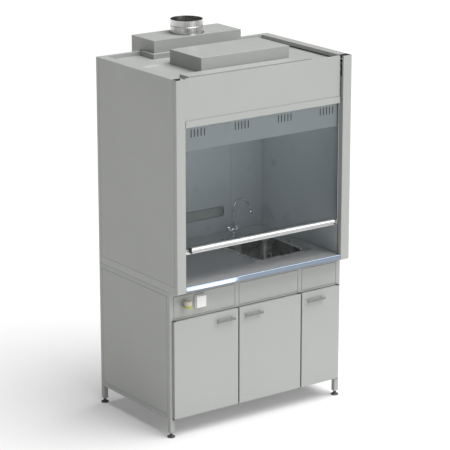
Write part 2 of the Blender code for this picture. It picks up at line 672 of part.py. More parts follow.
def sink():
    """Pressed steel: a deck on the worktop, a bowl with rounded corners and a seat around the drain."""
    steps = 6
    floor = WORKTOP_TOP - BOWL_DEPTH
    deck = WORKTOP_TOP + DECK_RISE
    loops = []
    for inset, z in ((0.0, WORKTOP_TOP + FIT), (FIT, deck)):
        outline = rounded_rectangle(SINK_X0 + inset, SINK_X1 - inset, SINK_FRONT + inset, SINK_BACK - inset,
                                    DECK_CORNER, steps)
        loops.append((outline, z))
    rings = [(-SINK_LIP, -SINK_LIP, deck), (0.0, 0.0, deck - SINK_LIP)]
    for turn in (0, 30, 60, 90):
        angle = math.radians(turn)
        inset = SINK_LIP + SINK_ROUNDING * (1 - math.cos(angle))
        rings.append((inset, inset * 0.6, floor + SINK_ROUNDING * (1 - math.sin(angle))))
    for inset, tighter, z in rings:
        outline = rounded_rectangle(BOWL_X0 + inset, BOWL_X1 - inset, BOWL_FRONT + inset, BOWL_BACK - inset,
                                    BOWL_CORNER - tighter, steps)
        loops.append((outline, z))
    count = len(loops[0][0])
    turns = [2 * math.pi * (i + 0.5) / count for i in range(count)]
    for radius in (DRAIN_RADIUS * 1.6, DRAIN_RADIUS):
        ring = [(SINK_X + radius * math.cos(a), DRAIN_Y + radius * math.sin(a)) for a in turns]
        loops.append((ring, floor - DRAIN_RECESS))
    mesh = bmesh.new()
    rows = [[mesh.verts.new((u, v, z)) for u, v in outline] for outline, z in loops]
    for upper, lower in zip(rows, rows[1:]):
        for i in range(len(upper)):
            j = (i + 1) % len(upper)
            mesh.faces.new((upper[i], upper[j], lower[j], lower[i]))
    made = new_object("sink", mesh, STEEL, smooth=True, closed=False)
    sheet = made.modifiers.new("sheet", "SOLIDIFY")
    sheet.thickness = SINK_SHEET
    sheet.offset = -1.0


def sink_waste():
    """Strainer, tailpiece and bottle trap with its outlet pipe at the back."""
    seat = WORKTOP_TOP - BOWL_DEPTH - DRAIN_RECESS
    under = seat - SINK_SHEET - GAP
    neck = DRAIN_RADIUS - 0.001
    cup = DRAIN_RADIUS - 0.004
    flange = DRAIN_RADIUS * 1.45
    profile = [(0, under - 0.016), (cup - 0.006, under - 0.016), (cup, seat + 0.001), (flange, seat + 0.002),
               (flange, seat + GAP), (neck, seat + GAP), (neck, under), (flange, under), (flange, under - 0.008),
               (cup, under - 0.012), (TAIL_RADIUS, under - 0.024), (TAIL_RADIUS, under - 0.068),
               (TRAP_RADIUS, under - 0.072), (TRAP_RADIUS, under - 0.160), (TRAP_RADIUS - 0.010, under - 0.172),
               (0, under - 0.172)]
    mesh = bmesh.new()
    add_turned(mesh, profile, (SINK_X, DRAIN_Y, 0), segments=24)
    made = new_object("sink_waste", mesh, WASTE_PLASTIC, smooth=True)
    z = under - 0.095
    bend = OUTLET_BEND
    back = DEPTH - TUBE / 2 - SHEET - OUTLET_RADIUS - 0.010
    pipe = [(SINK_X, DRAIN_Y + 0.010, z), (SINK_X, back - bend * 1.5, z)]
    pipe += [(SINK_X, back - bend + u, z - bend + v) for u, v in arc((0, 0), bend, 75, 0, 5)]
    pipe.append((SINK_X, back, SIDE_RAIL_BOTTOM + TUBE + 0.020))
    join(made, "outlet", lambda mesh: add_swept(mesh, pipe, [OUTLET_RADIUS] * len(pipe)))


def faucet():
    base = (SINK_X, FAUCET_Y, WORKTOP_TOP)
    body = [(0, -0.070), (0.007, -0.070), (0.007, -0.045), (FAUCET_SHANK, -0.045), (FAUCET_SHANK, GAP),
            (0.024, GAP), (0.024, 0.004), (0.019, 0.008), (0.017, 0.020), (0.019, 0.034), (0.016, 0.046),
            (0.011, FAUCET_BODY_TOP), (0, FAUCET_BODY_TOP)]
    mesh = bmesh.new()
    add_turned(mesh, body, base)
    made = new_object("faucet_body", mesh, CHROME, smooth=True)
    root = (SINK_X, FAUCET_Y, WORKTOP_TOP + FAUCET_BRANCH)
    for label, side in (("hot", -1), ("cold", 1)):
        tilt = Vector((side, 0, 1)).normalized()
        neck = [(0, 0), (NECK_RADIUS, 0), (NECK_RADIUS, NECK_LENGTH - 0.004), (NECK_RADIUS - 0.002, NECK_LENGTH),
                (0, NECK_LENGTH)]
        join(made, label + "_neck", lambda mesh, t=tilt: add_turned(mesh, neck, root, t, SMALL_SEGMENTS))
        spot = Vector(root) + tilt * (NECK_LENGTH + GAP)
        faucet_handle(label, tuple(spot), tilt)
    spout(base)


def faucet_handle(label, spot, tilt):
    """A cross handle: a hub with two bars through it, each with ball ends."""
    hub = [(0, 0), (0.0105, 0), (0.0125, 0.006), (0.011, 0.014), (0.008, 0.022), (0.004, 0.025), (0, 0.025)]
    mesh = bmesh.new()
    add_turned(mesh, hub, spot, tilt, 20)
    made = new_object("faucet_handle_" + label, mesh, CHROME, spot, True)
    across = tilt.cross(Vector((0, 1, 0))).normalized()
    centre = Vector(spot) + tilt * HUB_MIDDLE
    reach = HANDLE_REACH
    half = [(0, reach + 0.006), (0.0042, reach + 0.0045), (0.0060, reach), (0.0042, reach - 0.0045),
            (0.0034, reach - 0.007)]
    bar = half + [(r, -h) for r, h in reversed(half)]
    for name, direction in (("bar_a", across), ("bar_b", Vector((0, 1, 0)))):
        join(made, name, lambda mesh, d=direction: add_turned(mesh, bar, centre, d, 12))


def spout(base):
    bottom = FAUCET_BODY_TOP + GAP
    half = SPOUT_REACH / 2
    path = [(0, bottom), (0, bottom + 0.006), (0, bottom + 0.010), (0, bottom + 0.014)]
    radii = [0.0105, 0.0105, 0.0090, SPOUT_TUBE_RADIUS]
    for i in range(1, 5):
        path.append((0, bottom + 0.014 + (FAUCET_RISE - bottom - 0.014) * i / 4))
        radii.append(SPOUT_TUBE_RADIUS)
    steps = 16
    for i in range(1, steps + 1):
        angle = math.pi - math.radians(SPOUT_SWEEP) * i / steps
        path.append((half + half * math.cos(angle), FAUCET_RISE + SPOUT_ARCH * math.sin(angle)))
        radii.append(SPOUT_TUBE_RADIUS)
    last = Vector(path[-1])
    ahead = (last - Vector(path[-2])).normalized()
    for step, radius in ((0.004, 0.0085), (0.008, 0.0088), (0.024, 0.0088)):
        path.append(tuple(last + ahead * step))
        radii.append(radius)
    mesh = bmesh.new()
    add_swept(mesh, [(base[0], base[1] - u, base[2] + v) for u, v in path], radii, 14)
    new_object("faucet_spout", mesh, CHROME, (base[0], base[1], base[2] + bottom), True)


def service_valve():
    """A wall valve with an upright spindle; the knob turns under the body."""
    front = BASE_SETBACK - GAP
    spot = (VALVE_X, front - VALVE_PROUD, VALVE_Z)
    half = VALVE_HALF_HEIGHT
    soft = 0.004
    body = [(0, -half), (VALVE_RADIUS, -half), (VALVE_RADIUS, half - soft), (VALVE_RADIUS - soft, half),
            (0, half)]
    mesh = bmesh.new()
    add_turned(mesh, body, spot, segments=24)
    made = new_object("service_valve_body", mesh, BEIGE_PLASTIC, smooth=True)
    rose = VALVE_HALF_HEIGHT
    neck = [(0, -TUBE), (VALVE_SHANK, -TUBE), (VALVE_SHANK, 0), (rose, 0), (rose, soft), (VALVE_SHANK, 2 * soft),
            (VALVE_SHANK, VALVE_PROUD), (0, VALVE_PROUD)]
    root = (VALVE_X, front, VALVE_Z)
    join(made, "neck", lambda mesh: add_turned(mesh, neck, root, (0, -1, 0), 24))
    seat = (spot[0], spot[1], VALVE_Z - half - GAP)
    knob = [(0, 0), (KNOB_RADIUS - soft, 0), (KNOB_RADIUS, soft), (KNOB_RADIUS, KNOB_HEIGHT - soft),
            (KNOB_RADIUS - soft, KNOB_HEIGHT), (soft * 2, KNOB_HEIGHT), (soft, KNOB_HEIGHT + soft),
            (0, KNOB_HEIGHT + soft)]
    mesh = bmesh.new()
    add_turned(mesh, knob, seat, (0, 0, -1), 24)
    made = new_object("service_valve_knob", mesh, GREEN_PLASTIC, seat, True)
    groove = [(0, -soft * 3), (soft, -soft * 3), (soft, KNOB_HEIGHT * 2), (0, KNOB_HEIGHT * 2)]
    for notch in range(8):
        turn = math.radians(notch * 45 + 22.5)
        away = KNOB_RADIUS + soft * 0.4
        place = (seat[0] + away * math.cos(turn), seat[1] + away * math.sin(turn), seat[2])
        cut(made, "groove_%d" % notch, lambda mesh, s=place: add_turned(mesh, groove, s, (0, 0, -1), 8))


def socket():
    back = BASE_SETBACK - GAP
    front = back - SOCKET_DEPTH
    half_w = SOCKET_WIDTH / 2
    half_h = SOCKET_HEIGHT / 2
    outline = rounded_rectangle(SOCKET_X - half_w, SOCKET_X + half_w, SOCKET_Z - half_h, SOCKET_Z + half_h,
                                SOCKET_CORNER)
    mesh = bmesh.new()
    add_prism(mesh, outline, "y", front, back)
    body = new_object("socket_body", mesh, WHITE_PLASTIC)
    well = SOCKET_WELL
    low = (SOCKET_X - well, front + SOCKET_DEPTH / 2, SOCKET_Z - well)
    high = (SOCKET_X + well, back + SOCKET_BACK, SOCKET_Z + well)
    join(body, "back_box", lambda mesh: add_box(mesh, low, high))
    cup = [(0, 0), (SOCKET_CUP, 0), (SOCKET_CUP, TUBE), (0, TUBE)]
    seat = (SOCKET_X, front + SOCKET_CUP_DEPTH, SOCKET_Z)
    cut(body, "cup", lambda mesh: add_turned(mesh, cup, seat, (0, -1, 0), 24))
    pin = [(0, -PIN_DEPTH), (PIN_RADIUS, -PIN_DEPTH), (PIN_RADIUS, PIN_RADIUS), (0, PIN_RADIUS)]
    for name, offset in (("pin_a", -PIN_HALF_PITCH), ("pin_b", PIN_HALF_PITCH)):
        spot = (SOCKET_X + offset, seat[1], SOCKET_Z)
        cut(body, name, lambda mesh, s=spot: add_turned(mesh, pin, s, (0, -1, 0), 12))
    socket_lid(front - GAP, half_w - LID_MARGIN, half_h - LID_MARGIN)


def socket_lid(back, half_w, half_h):
    """A sprung flap; its upper edge is round about the pin it turns on."""
    radius = LID_DEPTH / 2
    top = SOCKET_Z + half_h
    pivot = (SOCKET_X, back - radius, top - radius)
    outline = [(back, SOCKET_Z - half_h), (back, top - radius)]
    outline += arc((pivot[1], pivot[2]), radius, 0, 180, 8)[1:]
    outline.append((back - LID_DEPTH, SOCKET_Z - half_h))
    mesh = bmesh.new()
    add_prism(mesh, outline, "x", SOCKET_X - half_w, SOCKET_X + half_w)
    lid = new_object("socket_lid", mesh, WHITE_PLASTIC, pivot)
    soften(lid, 0.0012, 2)
    wall = LID_WALL
    cut_box(lid, "hollow", (SOCKET_X - half_w + wall, back - LID_DEPTH + wall, SOCKET_Z - half_h + wall),
            (SOCKET_X + half_w - wall, back + TUBE, top - LID_DEPTH - wall))


# ---- upper unit ---------------------------------------------------------------------------------
def columns():
    """A folded corner post: outer return, front face, inner lip and the groove for the sash edge."""
    groove_front = SASH_Y - GUIDE_CLEAR
    groove_back = SASH_Y + SASH_THICK + GUIDE_CLEAR
    reach = INNER + GUIDE_DEPTH
    tail = LINING_X + FIT
    path = [(HALF - SHEET, POST_WIDTH), (HALF - SHEET, SHEET), (INNER + SHEET, SHEET),
            (INNER + SHEET, groove_front - SHEET), (reach + SHEET, groove_front - SHEET),
            (reach + SHEET, groove_back + SHEET), (tail, groove_back + SHEET)]
    for label, side in SIDES:
        outline = mirrored(folded(path, SHEET), side)
        mesh = bmesh.new()
        add_prism(mesh, outline, "z", UNIT_BOTTOM, HEIGHT)
        post = new_object("column_" + label, mesh, GREY_PAINT)
        x0, x1 = span(side, INNER - TUBE / 2, reach + 2 * SHEET)
        front = POST_WIDTH / 2 - SHEET
        low_z = PULLEY_Z - PULLEY_RADIUS - 4 * PULLEY_RIM
        cut_box(post, "pulley_opening", (x0, front, low_z), (x1, groove_back + TUBE, HEIGHT + TUBE))


def folded_right(path, thick):
    """As folded, with the sheet to the right of the path."""
    return folded(list(reversed(path)), thick)


def side_walls():
    """Outer side sheets with a top flange, which stops short of the sash's way up."""
    front = POST_WIDTH + GAP
    inner = HALF - FLANGE
    profile = [(HALF, WALL_BOTTOM), (HALF, HEIGHT), (inner, HEIGHT), (inner, ROOF_REAR_Z + GAP)]
    for label, side in SIDES:
        mesh = bmesh.new()
        add_prism(mesh, mirrored(folded(profile, SHEET), side), "y", front, DEPTH - POST_WIDTH - GAP)
        wall = new_object("side_wall_" + label, mesh, GREY_PAINT)
        x0, x1 = span(side, inner - TUBE, HALF - 2 * SHEET)
        cut_box(wall, "sash_notch", (x0, 0.0, ROOF_REAR_Z - TUBE), (x1, BULKHEAD_Y + SHEET, HEIGHT + TUBE))


def linings():
    """Inner chamber walls; the lower edge folds out over the worktop's side and down as a skirt."""
    foot = WORKTOP_TOP + GAP
    shelf = WALL_BOTTOM - FIT
    top = ROOF_FRONT_Z - SHEET - GAP
    ledge = LINING_X + LINING_LEDGE
    profile = [(LINING_X, top), (LINING_X, foot), (ledge, foot), (ledge, shelf - SHEET),
               (HALF - SHEET, shelf - SHEET), (HALF - SHEET, BASE_TOP + GAP)]
    axle_start = LINING_X + SHEET / 2
    axle_end = CABLE_X + PULLEY_WIDTH / 2 + AXLE_END
    axle = [(0, 0), (AXLE_RADIUS, 0), (AXLE_RADIUS, axle_end - axle_start), (0, axle_end - axle_start)]
    for label, side in SIDES:
        mesh = bmesh.new()
        add_prism(mesh, mirrored(folded(profile, SHEET), side), "y", SHOULDER_Y, DEPTH - SHEET - GAP)
        made = new_object("lining_" + label, mesh, LINER_PAINT)
        spot = (side * axle_start, PULLEY_Y, PULLEY_Z)
        join(made, "axle", lambda mesh, s=spot, d=side: add_turned(mesh, axle, s, (d, 0, 0), SMALL_SEGMENTS))
        x0, x1 = span(side, HALF - SHEET, HALF)
        low = (x0, POST_WIDTH + GAP, BASE_TOP + GAP)
        high = (x1, SHOULDER_Y + SHEET, shelf)
        join(made, "skirt_front", lambda mesh, a=low, b=high: add_box(mesh, a, b))
        x0, x1 = span(side, HALF - POST_WIDTH / 2, HALF + TUBE)
        cut_box(made, "rear_notch", (x0, DEPTH - POST_WIDTH - FIT, 0.0), (x1, DEPTH + TUBE, WALL_BOTTOM + TUBE))


def back_wall():
    back = DEPTH
    path = [(HALF, back - POST_WIDTH), (HALF, back), (-HALF, back), (-HALF, back - POST_WIDTH)]
    mesh = bmesh.new()
    add_prism(mesh, folded(path, SHEET), "z", BASE_TOP + GAP, HEIGHT - GAP)
    wall = new_object("back_wall", mesh, GREY_PAINT)
    front = back - POST_WIDTH
    join(wall, "top_flange", lambda mesh: add_box(mesh, (-HALF, front, HEIGHT - SHEET), (HALF, back, HEIGHT)))
    half = HALF - SHEET / 2
    low = (-half, front, ROOF_REAR_Z + GAP)
    join(wall, "top_return", lambda mesh: add_box(mesh, low, (half, front + SHEET, HEIGHT - SHEET / 2)))


def baffle():
    """Rear baffle with a low air slot; it stands off the back wall and stops short of the roof."""
    half = LINING_X - FIT
    foot = WORKTOP_TOP + FIT
    back = DEPTH - SHEET - FIT
    path = [(half, back), (half, BAFFLE_Y), (-half, BAFFLE_Y), (-half, back)]
    mesh = bmesh.new()
    add_prism(mesh, folded_right(path, SHEET), "z", foot, BAFFLE_TOP)
    plate = new_object("baffle", mesh, LINER_PAINT)
    outline = rounded_rectangle(-BAFFLE_SLOT_HALF, BAFFLE_SLOT_HALF, BAFFLE_SLOT_LOW, BAFFLE_SLOT_HIGH,
                                BAFFLE_SLOT_CORNER)
    cut(plate, "air_slot", lambda mesh: add_prism(mesh, outline, "y", BAFFLE_Y - TUBE, BAFFLE_Y + 2 * SHEET))


def header():
    """Front panel with a proud lower rail, folded from one sheet."""
    back = HEADER_Y + HEADER_RETURN
    rail = HEADER_Y - RAIL_PROUD
    path = [(back, HEIGHT), (HEADER_Y, HEIGHT), (HEADER_Y, HEADER_BOTTOM), (rail, HEADER_BOTTOM),
            (rail, RAIL_BOTTOM), (back, RAIL_BOTTOM)]
    mesh = bmesh.new()
    add_prism(mesh, folded(path, SHEET), "x", -HEADER_HALF, HEADER_HALF)
    new_object("header_panel", mesh, GREY_PAINT)


def bulkhead():
    half = LINING_X - FIT
    top = ROOF_FRONT_Z - SHEET - GAP
    path = [(BULKHEAD_Y + BULKHEAD_FOLD, BULKHEAD_BOTTOM), (BULKHEAD_Y, BULKHEAD_BOTTOM), (BULKHEAD_Y, top),
            (BULKHEAD_Y + BULKHEAD_FOLD, top)]
    mesh = bmesh.new()
    add_prism(mesh, folded_right(path, SHEET), "x", -half, half)
    plate = new_object("bulkhead", mesh, LINER_PAINT)
    for group in range(4):
        centre = (group - 1.5) * SLOT_GROUP_PITCH + SLOT_OFFSET
        for slot in range(5):
            x = centre + (slot - 2) * SLOT_PITCH
            outline = rounded_rectangle(x - SLOT_WIDTH / 2, x + SLOT_WIDTH / 2, SLOT_LOW, SLOT_HIGH,
                                        SLOT_WIDTH / 2 - GAP, 2)
            cut(plate, "slot_%d_%d" % (group, slot),
                lambda mesh, o=outline: add_prism(mesh, o, "y", BULKHEAD_Y - SHEET, BULKHEAD_Y + 2 * SHEET))


def roof():
    """Recessed roof: lamp opening in front, exhaust opening behind the step."""
    half = HALF - SHEET - FIT
    front = BULKHEAD_Y + SHEET + GAP
    back = DEPTH - SHEET - FIT
    path = [(front, ROOF_FRONT_Z), (ROOF_STEP_Y, ROOF_FRONT_Z), (ROOF_STEP_Y + ROOF_STEP_RUN, ROOF_REAR_Z),
            (back, ROOF_REAR_Z)]
    mesh = bmesh.new()
    add_prism(mesh, folded_right(path, SHEET), "x", -half, half)
    plate = new_object("roof_panel", mesh, GREY_PAINT)
    bar = (STIFFENER_X - STIFFENER_HALF, STIFFENER_FRONT, ROOF_FRONT_Z - SHEET / 2)
    bar_top = (STIFFENER_X + STIFFENER_HALF, STIFFENER_BACK, HEIGHT - STIFFENER_DROP)
    join(plate, "stiffener", lambda mesh: add_box(mesh, bar, bar_top))
    inner_low = (bar[0] + SHEET, bar[1] + SHEET, ROOF_FRONT_Z - TUBE)
    inner_high = (bar_top[0] - SHEET, bar_top[1] - SHEET, bar_top[2] - SHEET)
    cut_box(plate, "stiffener_hollow", inner_low, inner_high)
    lamp = LAMP_HALF - LAMP_LEDGE
    cut_box(plate, "lamp_opening", (-lamp, LAMP_FRONT + LAMP_LEDGE, ROOF_FRONT_Z - TUBE),
            (lamp, LAMP_BACK - LAMP_LEDGE, ROOF_FRONT_Z + TUBE))
    duct = COLLAR_HALF - COLLAR_REST
    cut_box(plate, "exhaust_opening", (-duct, COLLAR_FRONT + COLLAR_REST, ROOF_REAR_Z - TUBE),
            (duct, COLLAR_BACK - COLLAR_REST, ROOF_REAR_Z + TUBE))


def lamp():
    """Housing box open at the bottom, and the cover below the roof's opening."""
    low = (-LAMP_HALF, LAMP_FRONT, ROOF_FRONT_Z + GAP)
    high = (LAMP_HALF, LAMP_BACK, LAMP_TOP)
    box = box_object("lamp_housing", low, high, GREY_PAINT)
    cut_box(box, "hollow", (low[0] + SHEET, low[1] + SHEET, low[2] - TUBE),
            (high[0] - SHEET, high[1] - SHEET, high[2] - SHEET))
    half = LAMP_HALF - COVER_MARGIN
    top = ROOF_FRONT_Z - SHEET - GAP
    low = (-half, LAMP_FRONT + COVER_MARGIN, top - LAMP_COVER)
    box_object("lamp_cover", low, (half, LAMP_BACK - COVER_MARGIN, top), OPAL)


def exhaust():
    low = (-PLENUM_HALF, PLENUM_FRONT, PLENUM_BOTTOM)
    high = (PLENUM_HALF, PLENUM_BACK, PLENUM_TOP)
    box = box_object("exhaust_plenum", low, high, GREY_PAINT)
    collar_low = (-COLLAR_HALF, COLLAR_FRONT, ROOF_REAR_Z + GAP)
    collar_high = (COLLAR_HALF, COLLAR_BACK, PLENUM_BOTTOM + SHEET / 2)
    join(box, "collar", lambda mesh: add_box(mesh, collar_low, collar_high))
    tail_low = (low[0], DEPTH + GAP, low[2] - PLENUM_TAIL)
    join(box, "tail", lambda mesh: add_box(mesh, tail_low, (high[0], high[1], low[2] + SHEET)))
    roof_in = (high[0] - SHEET, high[1] - SHEET, high[2] - SHEET)
    cut_box(box, "inside", (low[0] + SHEET, low[1] + SHEET, low[2] + SHEET), roof_in)
    tail_in = (tail_low[0] + SHEET, tail_low[1] + SHEET, tail_low[2] + SHEET)
    cut_box(box, "tail_inside", tail_in, (roof_in[0], roof_in[1], low[2] + 2 * SHEET))
    cut_box(box, "collar_inside", (collar_low[0] + SHEET, collar_low[1] + SHEET, collar_low[2] - TUBE),
            (collar_high[0] - SHEET, collar_high[1] - SHEET, low[2] - SHEET / 2))
    cut_box(box, "throat", (low[0] + SHEET * 2, low[1] + SHEET * 2, low[2] - SHEET * 2),
            (high[0] - SHEET * 2, collar_high[1] - SHEET * 2, low[2] + SHEET * 2))
    bore = DUCT_RADIUS - SHEET
    hole = [(0, PLENUM_TOP - TUBE), (bore, PLENUM_TOP - TUBE), (bore, PLENUM_TOP + TUBE), (0, PLENUM_TOP + TUBE)]
    cut(box, "duct_hole", lambda mesh: add_turned(mesh, hole, (0, DUCT_Y, 0)))
    base = PLENUM_TOP + GAP
    inner = DUCT_RADIUS - SHEET
    bead = DUCT_BEAD
    bead_z = DUCT_TOP - DUCT_BEAD_DROP
    flange = DUCT_RADIUS + DUCT_FLANGE
    profile = [(inner, base), (flange, base), (flange, base + SHEET),
               (DUCT_RADIUS, base + SHEET), (DUCT_RADIUS, bead_z - bead), (DUCT_RADIUS + bead * 0.6, bead_z),
               (DUCT_RADIUS, bead_z + bead), (DUCT_RADIUS, DUCT_TOP), (inner, DUCT_TOP)]
    mesh = bmesh.new()
    add_turned(mesh, profile, (0, DUCT_Y, 0), segments=48, ring=True)
    new_object("duct_spigot", mesh, STEEL, smooth=True)


# ---- sash and its balance -----------------------------------------------------------------------
def sash():
    top = SASH_TOP
    back = SASH_Y + SASH_THICK
    frame = box_object("sash_frame", (-SASH_HALF, SASH_Y, SASH_BOTTOM), (SASH_HALF, back, top), ALUMINIUM)
    x = SASH_HALF - SASH_STILE
    z0, z1 = SASH_BOTTOM + SASH_RAIL, top - SASH_TOP_RAIL
    cut_box(frame, "pane_opening", (-x, 0.0, z0), (x, back + TUBE, z1))
    anchor_z = SASH_BOTTOM + ANCHOR_LIFT
    for label, side in SIDES:
        x0, x1 = span(side, SASH_HALF - ANCHOR_HALF, CABLE_X + ANCHOR_HALF)
        low = (x0, CABLE_FRONT_Y - ANCHOR_HALF, anchor_z)
        high = (x1, CABLE_FRONT_Y + ANCHOR_HALF, anchor_z + ANCHOR_HEIGHT)
        join(frame, label + "_anchor", lambda mesh, a=low, b=high: add_box(mesh, a, b))
    pane_y = SASH_Y + (SASH_THICK - GLASS_THICK) / 2
    box_object("sash_glass", (-x + GAP, pane_y, z0 + GAP), (x - GAP, pane_y + GLASS_THICK, z1 - GAP), GLASS)
    grip()


def grip():
    """A curved lip along the sash's lower edge, with a flat back."""
    back = SASH_Y - GAP
    half = (GRIP_TOP - GRIP_BOTTOM) / 2
    deep = back - GRIP_FRONT
    outline = [(back, GRIP_BOTTOM)]
    for i in range(9):
        angle = math.radians(-80 + 160 * i / 8)
        outline.append((back - deep * math.cos(angle), GRIP_BOTTOM + half + half * math.sin(angle)))
    outline.append((back, GRIP_TOP))
    mesh = bmesh.new()
    add_prism(mesh, outline, "x", -GRIP_HALF, GRIP_HALF)
    new_object("sash_handle", mesh, ALUMINIUM, smooth=True)


def balance():
    x0 = LINING_X + SHEET + WEIGHT_WALL
    x1 = HALF - SHEET - WEIGHT_WALL
    for label, side in SIDES:
        a, b = span(side, x0, x1)
        low = (a, WEIGHT_FRONT, WEIGHT_TOP - WEIGHT_HEIGHT)
        box_object("counterweight_" + label, low, (b, WEIGHT_BACK, WEIGHT_TOP), CAST_IRON, bevel=0.003)
        spot = (side * CABLE_X, PULLEY_Y, PULLEY_Z)
        groove = PULLEY_RADIUS - CABLE_RADIUS - GAP
        rim = PULLEY_RADIUS + PULLEY_RIM
        half = PULLEY_WIDTH / 2
        bore = AXLE_RADIUS + GAP
        profile = [(bore, -half), (rim, -half), (rim, -half + 0.001), (groove, -CABLE_RADIUS - GAP),
                   (groove, CABLE_RADIUS + GAP), (rim, half - 0.001), (rim, half), (bore, half)]
        mesh = bmesh.new()
        add_turned(mesh, profile, spot, (1, 0, 0), SEGMENTS, ring=True)
        new_object("pulley_" + label, mesh, DARK_PLASTIC, spot, True)
        anchor_top = SASH_BOTTOM + ANCHOR_LIFT + ANCHOR_HEIGHT + GAP
        runs = (("sash_cable_", CABLE_FRONT_Y, anchor_top), ("weight_cable_", CABLE_REAR_Y, WEIGHT_TOP + GAP))
        for name, y, z in runs:
            wire = [(0, z), (CABLE_RADIUS, z), (CABLE_RADIUS, PULLEY_Z), (0, PULLEY_Z)]
            mesh = bmesh.new()
            add_turned(mesh, wire, (side * CABLE_X, y, 0), segments=10)
            new_object(name + label, mesh, CABLE_STEEL, smooth=True)


base_side_frames()
base_front_frame()
base_liner()
doors()
feet()
worktop()
sink()
sink_waste()
faucet()
service_valve()
socket()
columns()
side_walls()
linings()
back_wall()
baffle()
header()
bulkhead()
roof()
lamp()
exhaust()
sash()
balance()
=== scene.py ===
"""Looks of the ducted fume hood: finishes, rounded sheet edges, small fittings, floor, light and camera.

Metres, +Z up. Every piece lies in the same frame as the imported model.
"""
import json
import math

import bmesh
import bpy
from mathutils import Matrix, Vector


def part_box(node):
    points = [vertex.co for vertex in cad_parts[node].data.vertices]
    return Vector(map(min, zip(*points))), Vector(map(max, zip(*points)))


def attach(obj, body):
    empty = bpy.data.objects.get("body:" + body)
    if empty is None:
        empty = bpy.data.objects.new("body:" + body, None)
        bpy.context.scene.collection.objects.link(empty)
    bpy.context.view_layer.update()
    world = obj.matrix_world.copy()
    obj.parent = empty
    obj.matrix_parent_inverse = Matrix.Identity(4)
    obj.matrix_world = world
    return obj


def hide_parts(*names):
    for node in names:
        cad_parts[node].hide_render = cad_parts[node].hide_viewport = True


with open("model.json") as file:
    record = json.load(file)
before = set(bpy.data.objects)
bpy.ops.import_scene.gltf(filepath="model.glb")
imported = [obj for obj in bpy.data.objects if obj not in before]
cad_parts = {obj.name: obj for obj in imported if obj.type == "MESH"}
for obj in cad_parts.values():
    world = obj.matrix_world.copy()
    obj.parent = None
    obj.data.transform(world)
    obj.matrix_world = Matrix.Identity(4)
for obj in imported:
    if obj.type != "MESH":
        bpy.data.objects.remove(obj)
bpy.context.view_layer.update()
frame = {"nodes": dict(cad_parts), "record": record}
NODES = frame["nodes"]
BODY_OF = {node: body for body, nodes in frame["record"]["behaviour"]["bodies"].items() for node in nodes}
SLOT_OF = {entry["node"]: entry["material_slot"] for entry in frame["record"]["subparts"]}

# ---- sizes --------------------------------------------------------------------------------------
BEND_RADIUS = 0.0022      # outer radius of folded sheet
BEND_ANGLE = math.radians(40)       # edges that turn less than this stay as they are
SEAM_WIDTH = 0.0016
PROUD = 0.00025           # sealant lines and the painted crease shade stand out this far
SEAM_SUNK = 0.0006        # and reach this far into the sheet
SCREW_RADIUS = 0.0045
CAP_RADIUS = 0.0058
HEAD_SUNK = 0.0005        # screws and caps reach this far into the sheet
BAFFLE_SEAM = 0.343       # the baffle's seams, from the middle
FASCIA_LINE = (0.0012, 0.0030)      # from the fascia's front to the line's two faces
FASCIA_EDGE = 0.0008      # half height of a level fascia line
CREASE_Z = 1.950          # the header's crease
CREASE_SETBACK = 0.005    # from the header's foremost edge
GAP_SHADE = (0.0002, 0.0018) # from the doors' back to the two faces of the painted-shade strips in the door gaps
GAP_SHADE_LAP = 0.004        # a painted-shade strip reaches this far behind each door
GAP_SHADE_END = 0.012        # the top painted-shade strip stops this far inside the doors' edge
GAP_SHADE_RISE = 0.0015
SLOT_X = 0.016            # the slot groups lie this far right of the middle
SLOT_Z = 1.864            # middle of the slots
SLOT_GROUPS = 4
SLOT_PITCH = 0.316
SLOT_SHADE_HALF = (0.062, 0.033)         # half width and half height
SLOT_SHADE_DEPTH = (0.0019, 0.0024)      # from the bulkhead's front to the two faces of the dark sheet that paints the slots' shade
WIRE = 0.0016             # radius of the wire rings: the overflow ring, and the dark ring that paints shade round the baffle slot
BAFFLE_SLOT_Z = 1.094
OVERFLOW = (0.125, 0.668) # from the middle, behind the front
SINK_X = 0.288
DRAIN_Y = 0.4025          # behind the front
STRAINER_DROP = 0.0194    # strainer below the waste's upper edge
HOLE_CIRCLE = 0.013
HOLE_RADIUS = 0.0032
HOLE_COUNT = 8
HOLE_DISC = 0.0006
BRANCH = (0.729, 0.972)   # where the mixer's handles branch off: behind the front, above the floor
DOT_REACH = 0.0632        # from there to the coloured dot
GRIP_CAP = (0.004, 0.003) # end caps of the sash handle: inside and outside its end
GRIP_CAP_LAP = 0.0008

# places of screws and caps: from the middle or behind the front, then behind the front or above the floor
FLANGE_SCREWS = ((0.609, 0.098), (0.617, 0.323), (0.624, 0.536), (0.607, 0.846), (0.582, 0.829),
                 (0.423, 0.843))
WALL_CAPS = ((0.292, 2.119), (0.302, 1.557), (0.755, 1.562), (0.297, 1.006), (0.755, 1.006), (0.755, 2.119))
LAMP_SCREW = (0.352, 2.240)
COLLAR_SCREW = (0.705, 2.189)
BACK_SCREWS = [(x, z) for z in (2.15, 1.02) for x in (-0.56, -0.19, 0.19, 0.56)]
BACK_SCREWS += [(-0.56, 1.58), (0.56, 1.58)]

